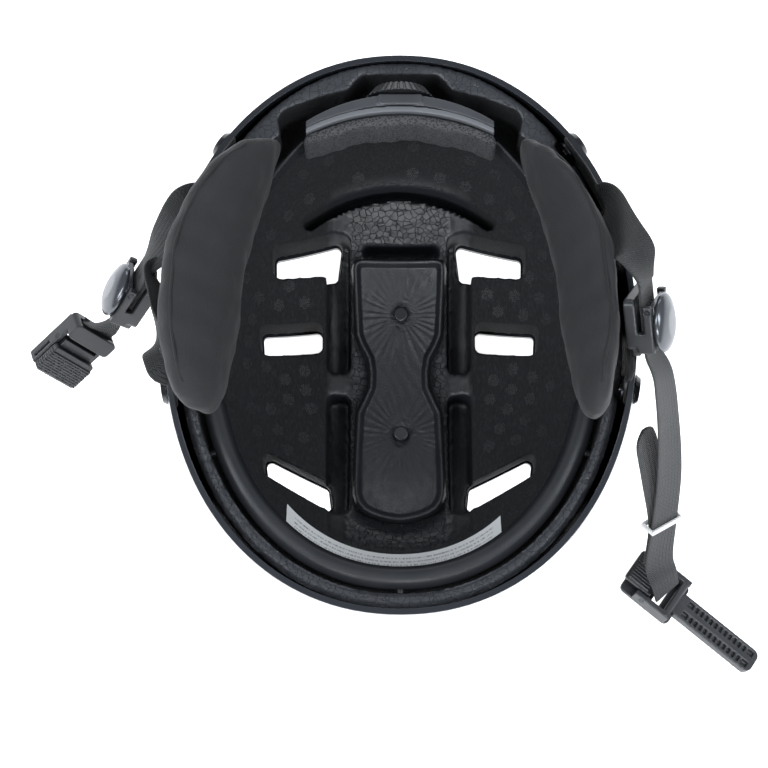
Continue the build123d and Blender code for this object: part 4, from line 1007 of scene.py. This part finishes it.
RIM_LINE = (REAR_EXIT - FRONT_EXIT).normalized()
HINGE_BELOW = Vector((0, 0, -0.003))    # points below and above where the webbing leaves the shell
HINGE_ABOVE = Vector((0, 0, 0.004))


def flipped(point):
    """The same point on the left side."""
    return Vector((-point[0], point[1], point[2]))


def ribbon(name, stations, material, width=WEB_WIDTH, tip=0.0):
    """Woven strap through (centre, across) stations, with low ribs and a rounded end of radius tip."""
    centres = smooth_path([Vector(centre) for centre, across in stations], WEB_STEPS)
    widths = smooth_path([Vector(across).normalized() for centre, across in stations], WEB_STEPS)
    if tip:
        run = (centres[1] - centres[0]).normalized()
        lead = [centres[0] + run * (tip * (1 - cos(0.5 * pi * k / TIP_STEPS))) for k in range(TIP_STEPS)]
        beyond = next(k for k, c in enumerate(centres) if (c - centres[0]).length > tip)
        centres = lead + centres[beyond:]
        widths = [widths[0]] * len(lead) + widths[beyond:]
    lengths = [0.0]
    for a, b in zip(centres, centres[1:]):
        lengths.append(lengths[-1] + (b - a).length)
    rings = []
    cells = []
    for i, centre in enumerate(centres):
        run = (centres[min(i + 1, len(centres) - 1)] - centres[max(i - 1, 0)]).normalized()
        across = widths[i] - run * widths[i].dot(run)
        across.normalize()
        up = run.cross(across)
        share = 1.0
        if lengths[i] < tip:
            share = max(sqrt(1 - (1 - lengths[i] / tip) ** 2), TIP_SHARE)
        ring = []
        for face in (1, -1):
            for k in range(WEB_COLUMNS + 1):
                u = (k / WEB_COLUMNS * 2 - 1) * face
                reach = u * share * width / 2
                half = WEB_THICKNESS / 2 * (1 - abs(u) ** 10) ** 0.5
                if half > WEB_RIB_FLOOR:
                    half += WEB_RIB_HEIGHT * cos(u * pi * WEB_RIBS) * (1 - abs(u) ** 6)
                cup = WEB_CUP * (u * u - 0.4)
                ring.append(centre + across * reach + up * (face * half + cup))
                cells.append((reach * MM, lengths[i] * MM))
        rings.append(ring)
    obj = make_mesh(name, [p for ring in rings for p in ring], skin(rings), material)
    uv = obj.data.uv_layers.new(name="strap")
    for loop in obj.data.loops:
        uv.data[loop.index].uv = cells[loop.vertex_index]
    return obj


def flexing(strap, still, moving, low, high, *replaced):
    """Bake a strap's transform into its mesh and hide the CAD nodes it replaces; the two bodies and the two
    points are not used.
    """
    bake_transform(strap)
    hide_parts(*replaced)


def hang(strap, side, end, exit_point):
    """Bake a rim strap into place where it leaves the shell and hide its CAD strap and the anchors node;
    inside, it stands for its part of the anchors.
    """
    low = exit_point * MM + HINGE_BELOW
    high = exit_point * MM + HINGE_ABOVE
    flexing(strap, "root", f"{side}_strap", low, high, f"{side}_{end}_strap", "strap_anchors")


SHELL_HALF_WIDTH, SHELL_FRONT, SHELL_REAR = 118.0, 137.0, 146.0
SHELL_EQUATOR, TAPER_HEIGHT = 106.0, 170.0
ANCHOR_INSET = 4.2


def anchor_point(side, y, height):
    """Point between shell and foam where the webbing lies."""
    taper = sqrt(1 - ((height - SHELL_EQUATOR) / TAPER_HEIGHT) ** 2)
    length = (SHELL_REAR if y >= 0 else SHELL_FRONT) * taper - ANCHOR_INSET
    half_width = SHELL_HALF_WIDTH * taper - ANCHOR_INSET
    return Vector((side * half_width * (1 - abs(y / length) ** POWER) ** (1 / POWER), y, height))


def anchored(side, route, onward):
    """Stations from the rivet up between shell and foam, then on over the rim."""
    spots = [anchor_point(side, y, height) for y, height in route]
    stations = []
    for i, spot in enumerate(spots):
        run = spots[min(i + 1, len(spots) - 1)] - spots[max(i - 1, 0)]
        out = Vector((spot.x / SHELL_HALF_WIDTH, spot.y / SHELL_REAR, 0))
        across = out.cross(run).normalized()
        if across.y < 0:
            across = -across
        stations.append((spot, across))
    return stations + onward


def in_divider(at, across, entry, height, end):
    """Stations of a strap that comes into a divider at one height and ends inside it at another."""
    places = ((-21.4, entry), (-15.4, height), (0, height), (end, height))
    return [(at(0, place, lift), across) for place, lift in places]


REAR_ROUTE = ((98, 127), (81, 131), (66, 140), (62.5, 146.5))
FRONT_ROUTE = ((-27, 127), (-23, 138), (-20.5, 146.5))
left_line = flipped(RIM_LINE)
at, x_dir = LEFT_DIVIDER
left_across = x_dir if x_dir.y * left_line.y > 0 else -x_dir
left_rear = ribbon("left_rear_webbing", anchored(-1, REAR_ROUTE, [
    (flipped(REAR_EXIT) + Vector((-1.5, -1, 2.2)), left_line),
    ((-104.5, 58, 154), left_line),
    ((-109.5, 51.5, 152.5), (-0.3, 0.92, 0.1)),
    ((-116, 43.5, 145), (-0.3, 0.9, 0.0)),
    *in_divider(at, left_across, 1.4, 0.8, 11),
]), WEBBING)
left_front = ribbon("left_front_webbing", anchored(-1, FRONT_ROUTE, [
    (flipped(FRONT_EXIT) + Vector((-1.5, 1, 2.2)), left_line),
    ((-112.6, -19.2, 153.2), left_line),
    ((-116.2, -7, 152), (-0.1, 0.95, -0.1)),
    ((-119.8, 15, 143), (-0.2, 0.9, -0.1)),
    *in_divider(at, left_across, -1.6, -1.0, 9),
]), WEBBING)
hang(left_rear, "left", "rear", flipped(REAR_EXIT))
hang(left_front, "left", "front", flipped(FRONT_EXIT))

buckle_at, buckle_x = BUCKLE
buckle_across = buckle_x if buckle_x.dot(left_across) > 0 else -buckle_x
chin_start = at(0, 16.5, 0)
chin_end = buckle_at(0, -18.6, 0.6)
left_chin = ribbon("left_chin_webbing", [
    (at(0, 6, -0.2), left_across),
    (at(0, 12, 0), left_across),
    (chin_start, left_across),
    ((chin_start + chin_end) / 2, left_across + buckle_across),
    (chin_end, buckle_across),
    (buckle_at(0, -16.0, 0.8), buckle_across),
    (buckle_at(0, -11.8, 0.8), buckle_across),
], WEBBING)
fold = at(0, 13.5, 0) * MM
flexing(left_chin, "left_strap", "left_buckle", fold, at(0, 18, 0) * MM, "left_chin_strap")

RIGHT_FRONT_WIDTH = 16.0            # narrower than the rear strap
at, right_across = RIGHT_DIVIDER
right_rear = ribbon("right_rear_webbing", anchored(1, REAR_ROUTE, [
    (REAR_EXIT + Vector((0.5, -0.5, 2.0)), RIM_LINE),
    ((102, 58, 156.5), (0.15, 0.95, 0.1)),
    ((105, 50, 164), (0.25, 0.9, 0.3)),
    ((107.5, 39, 173), (0.35, 0.82, 0.2)),
    ((110.5, 28, 180), (0.4, 0.8, -0.25)),
    *in_divider(at, -right_across, 0, 0, 9),
]), WEBBING)
right_front = ribbon("right_front_webbing", anchored(1, FRONT_ROUTE, [
    (FRONT_EXIT + Vector((0.2, 0.5, 2.0)), RIM_LINE),
    ((110.6, -19.5, 155), (0, 0.9, -0.4)),
    ((111, -18, 159), (0, 0.85, -0.5)),
]), WEBBING, width=RIGHT_FRONT_WIDTH)
hang(right_rear, "right", "rear", REAR_EXIT)
hang(right_front, "right", "front", FRONT_EXIT)

CHIN_WIDTH = 18.0
CHIN_ROUTE = [
    (at(0, 5, 0), -right_across),
    (at(0, 11, 0), -right_across),
    (at(0, 16.5, 0), -right_across),
    ((126.5, -25, 147), (0.52, 0.5, -0.6)),
    ((132.5, -43, 117), (0.6, 0.55, -0.45)),
    ((136.5, -64, 85), (0.7, 0.5, -0.3)),
    ((137, -84, 58), (0.8, 0.45, -0.35)),
    ((137, -101, 35), (0.85, 0.45, -0.25)),
    ((140.5, -109.5, 26), (0.75, 0.6, -0.2)),
    ((143.0, -115.8, 17.8), (0.62, 0.78, 0)),
]
right_chin = ribbon("right_chin_webbing", CHIN_ROUTE, WEBBING, width=CHIN_WIDTH)
fold = at(0, 13.5, 0) * MM
flexing(right_chin, "right_strap", "right_tongue", fold, at(0, 18.5, 0) * MM, "right_chin_strap")

TAIL_OFFSET = 3.2                   # from the chin strap to the free end behind it
tail_stations = [((120.5, -45, 114), (0.6, 0.55, -0.45)), ((128.5, -64, 86), (0.7, 0.5, -0.3))]
for index in (6, 7):                # the stations of the chin strap that the free end follows
    run = Vector(CHIN_ROUTE[index + 1][0]) - Vector(CHIN_ROUTE[index - 1][0])
    across = Vector(CHIN_ROUTE[index][1]).normalized()
    normal = run.cross(across).normalized()
    tail_stations.append((Vector(CHIN_ROUTE[index][0]) - normal * TAIL_OFFSET, across))
tail = ribbon("right_tail_webbing", tail_stations, WEBBING_TAIL, width=CHIN_WIDTH - 2, tip=CHIN_WIDTH / 2 - 1)
place(tail, "right_tongue", "webbing", "right_strap_tail")

# ---- floor, world and lights ----
floor_finish = Finish("floor", (0.90, 0.90, 0.91), 0.9)
floor_finish.surface.inputs["Emission Color"].default_value = (1, 1, 1, 1)
floor_finish.surface.inputs["Emission Strength"].default_value = 0.9
FLOOR = 4000                        # half its width
floor_corners = [(-FLOOR, -FLOOR, 0), (FLOOR, -FLOOR, 0), (FLOOR, FLOOR, 0), (-FLOOR, FLOOR, 0)]
floor = make_mesh("floor", floor_corners, [(0, 1, 2, 3)], floor_finish.material)

world = bpy.data.worlds.new("studio")
bpy.context.scene.world = world
world.use_nodes = True
world.node_tree.nodes["Background"].inputs["Color"].default_value = (0.88, 0.93, 1.0, 1)
world.node_tree.nodes["Background"].inputs["Strength"].default_value = 0.42

LIGHTS = (                      # place, looks at, width, height, watts, colour
    ((0.0, 1.35, 0.85), (0, 0.02, 0.1), 1.2, 0.4, 5.0, (0.95, 0.97, 1.0)),
    ((0.0, -1.00, 0.85), (0, 0.02, 0.08), 1.0, 0.3, 11.0, (0.95, 0.97, 1.0)),
    ((-0.75, -0.25, 1.0), (0, 0, 0.1), 0.30, 0.8, 9.0, (0.90, 0.95, 1.0)),
    ((0.75, -0.20, 1.0), (0, 0, 0.1), 0.30, 0.8, 8.0, (0.90, 0.95, 1.0)),
)
for number, (spot, aim, width, height, watts, colour) in enumerate(LIGHTS):
    data = bpy.data.lights.new(f"light_{number}", "AREA")
    data.shape = "RECTANGLE"
    data.size = width
    data.size_y = height
    data.energy = watts
    data.color = colour
    lamp = bpy.data.objects.new(f"light_{number}", data)
    lamp.location = spot
    lamp.rotation_euler = (Vector(aim) - Vector(spot)).to_track_quat("-Z", "Y").to_euler()
    bpy.context.scene.collection.objects.link(lamp)
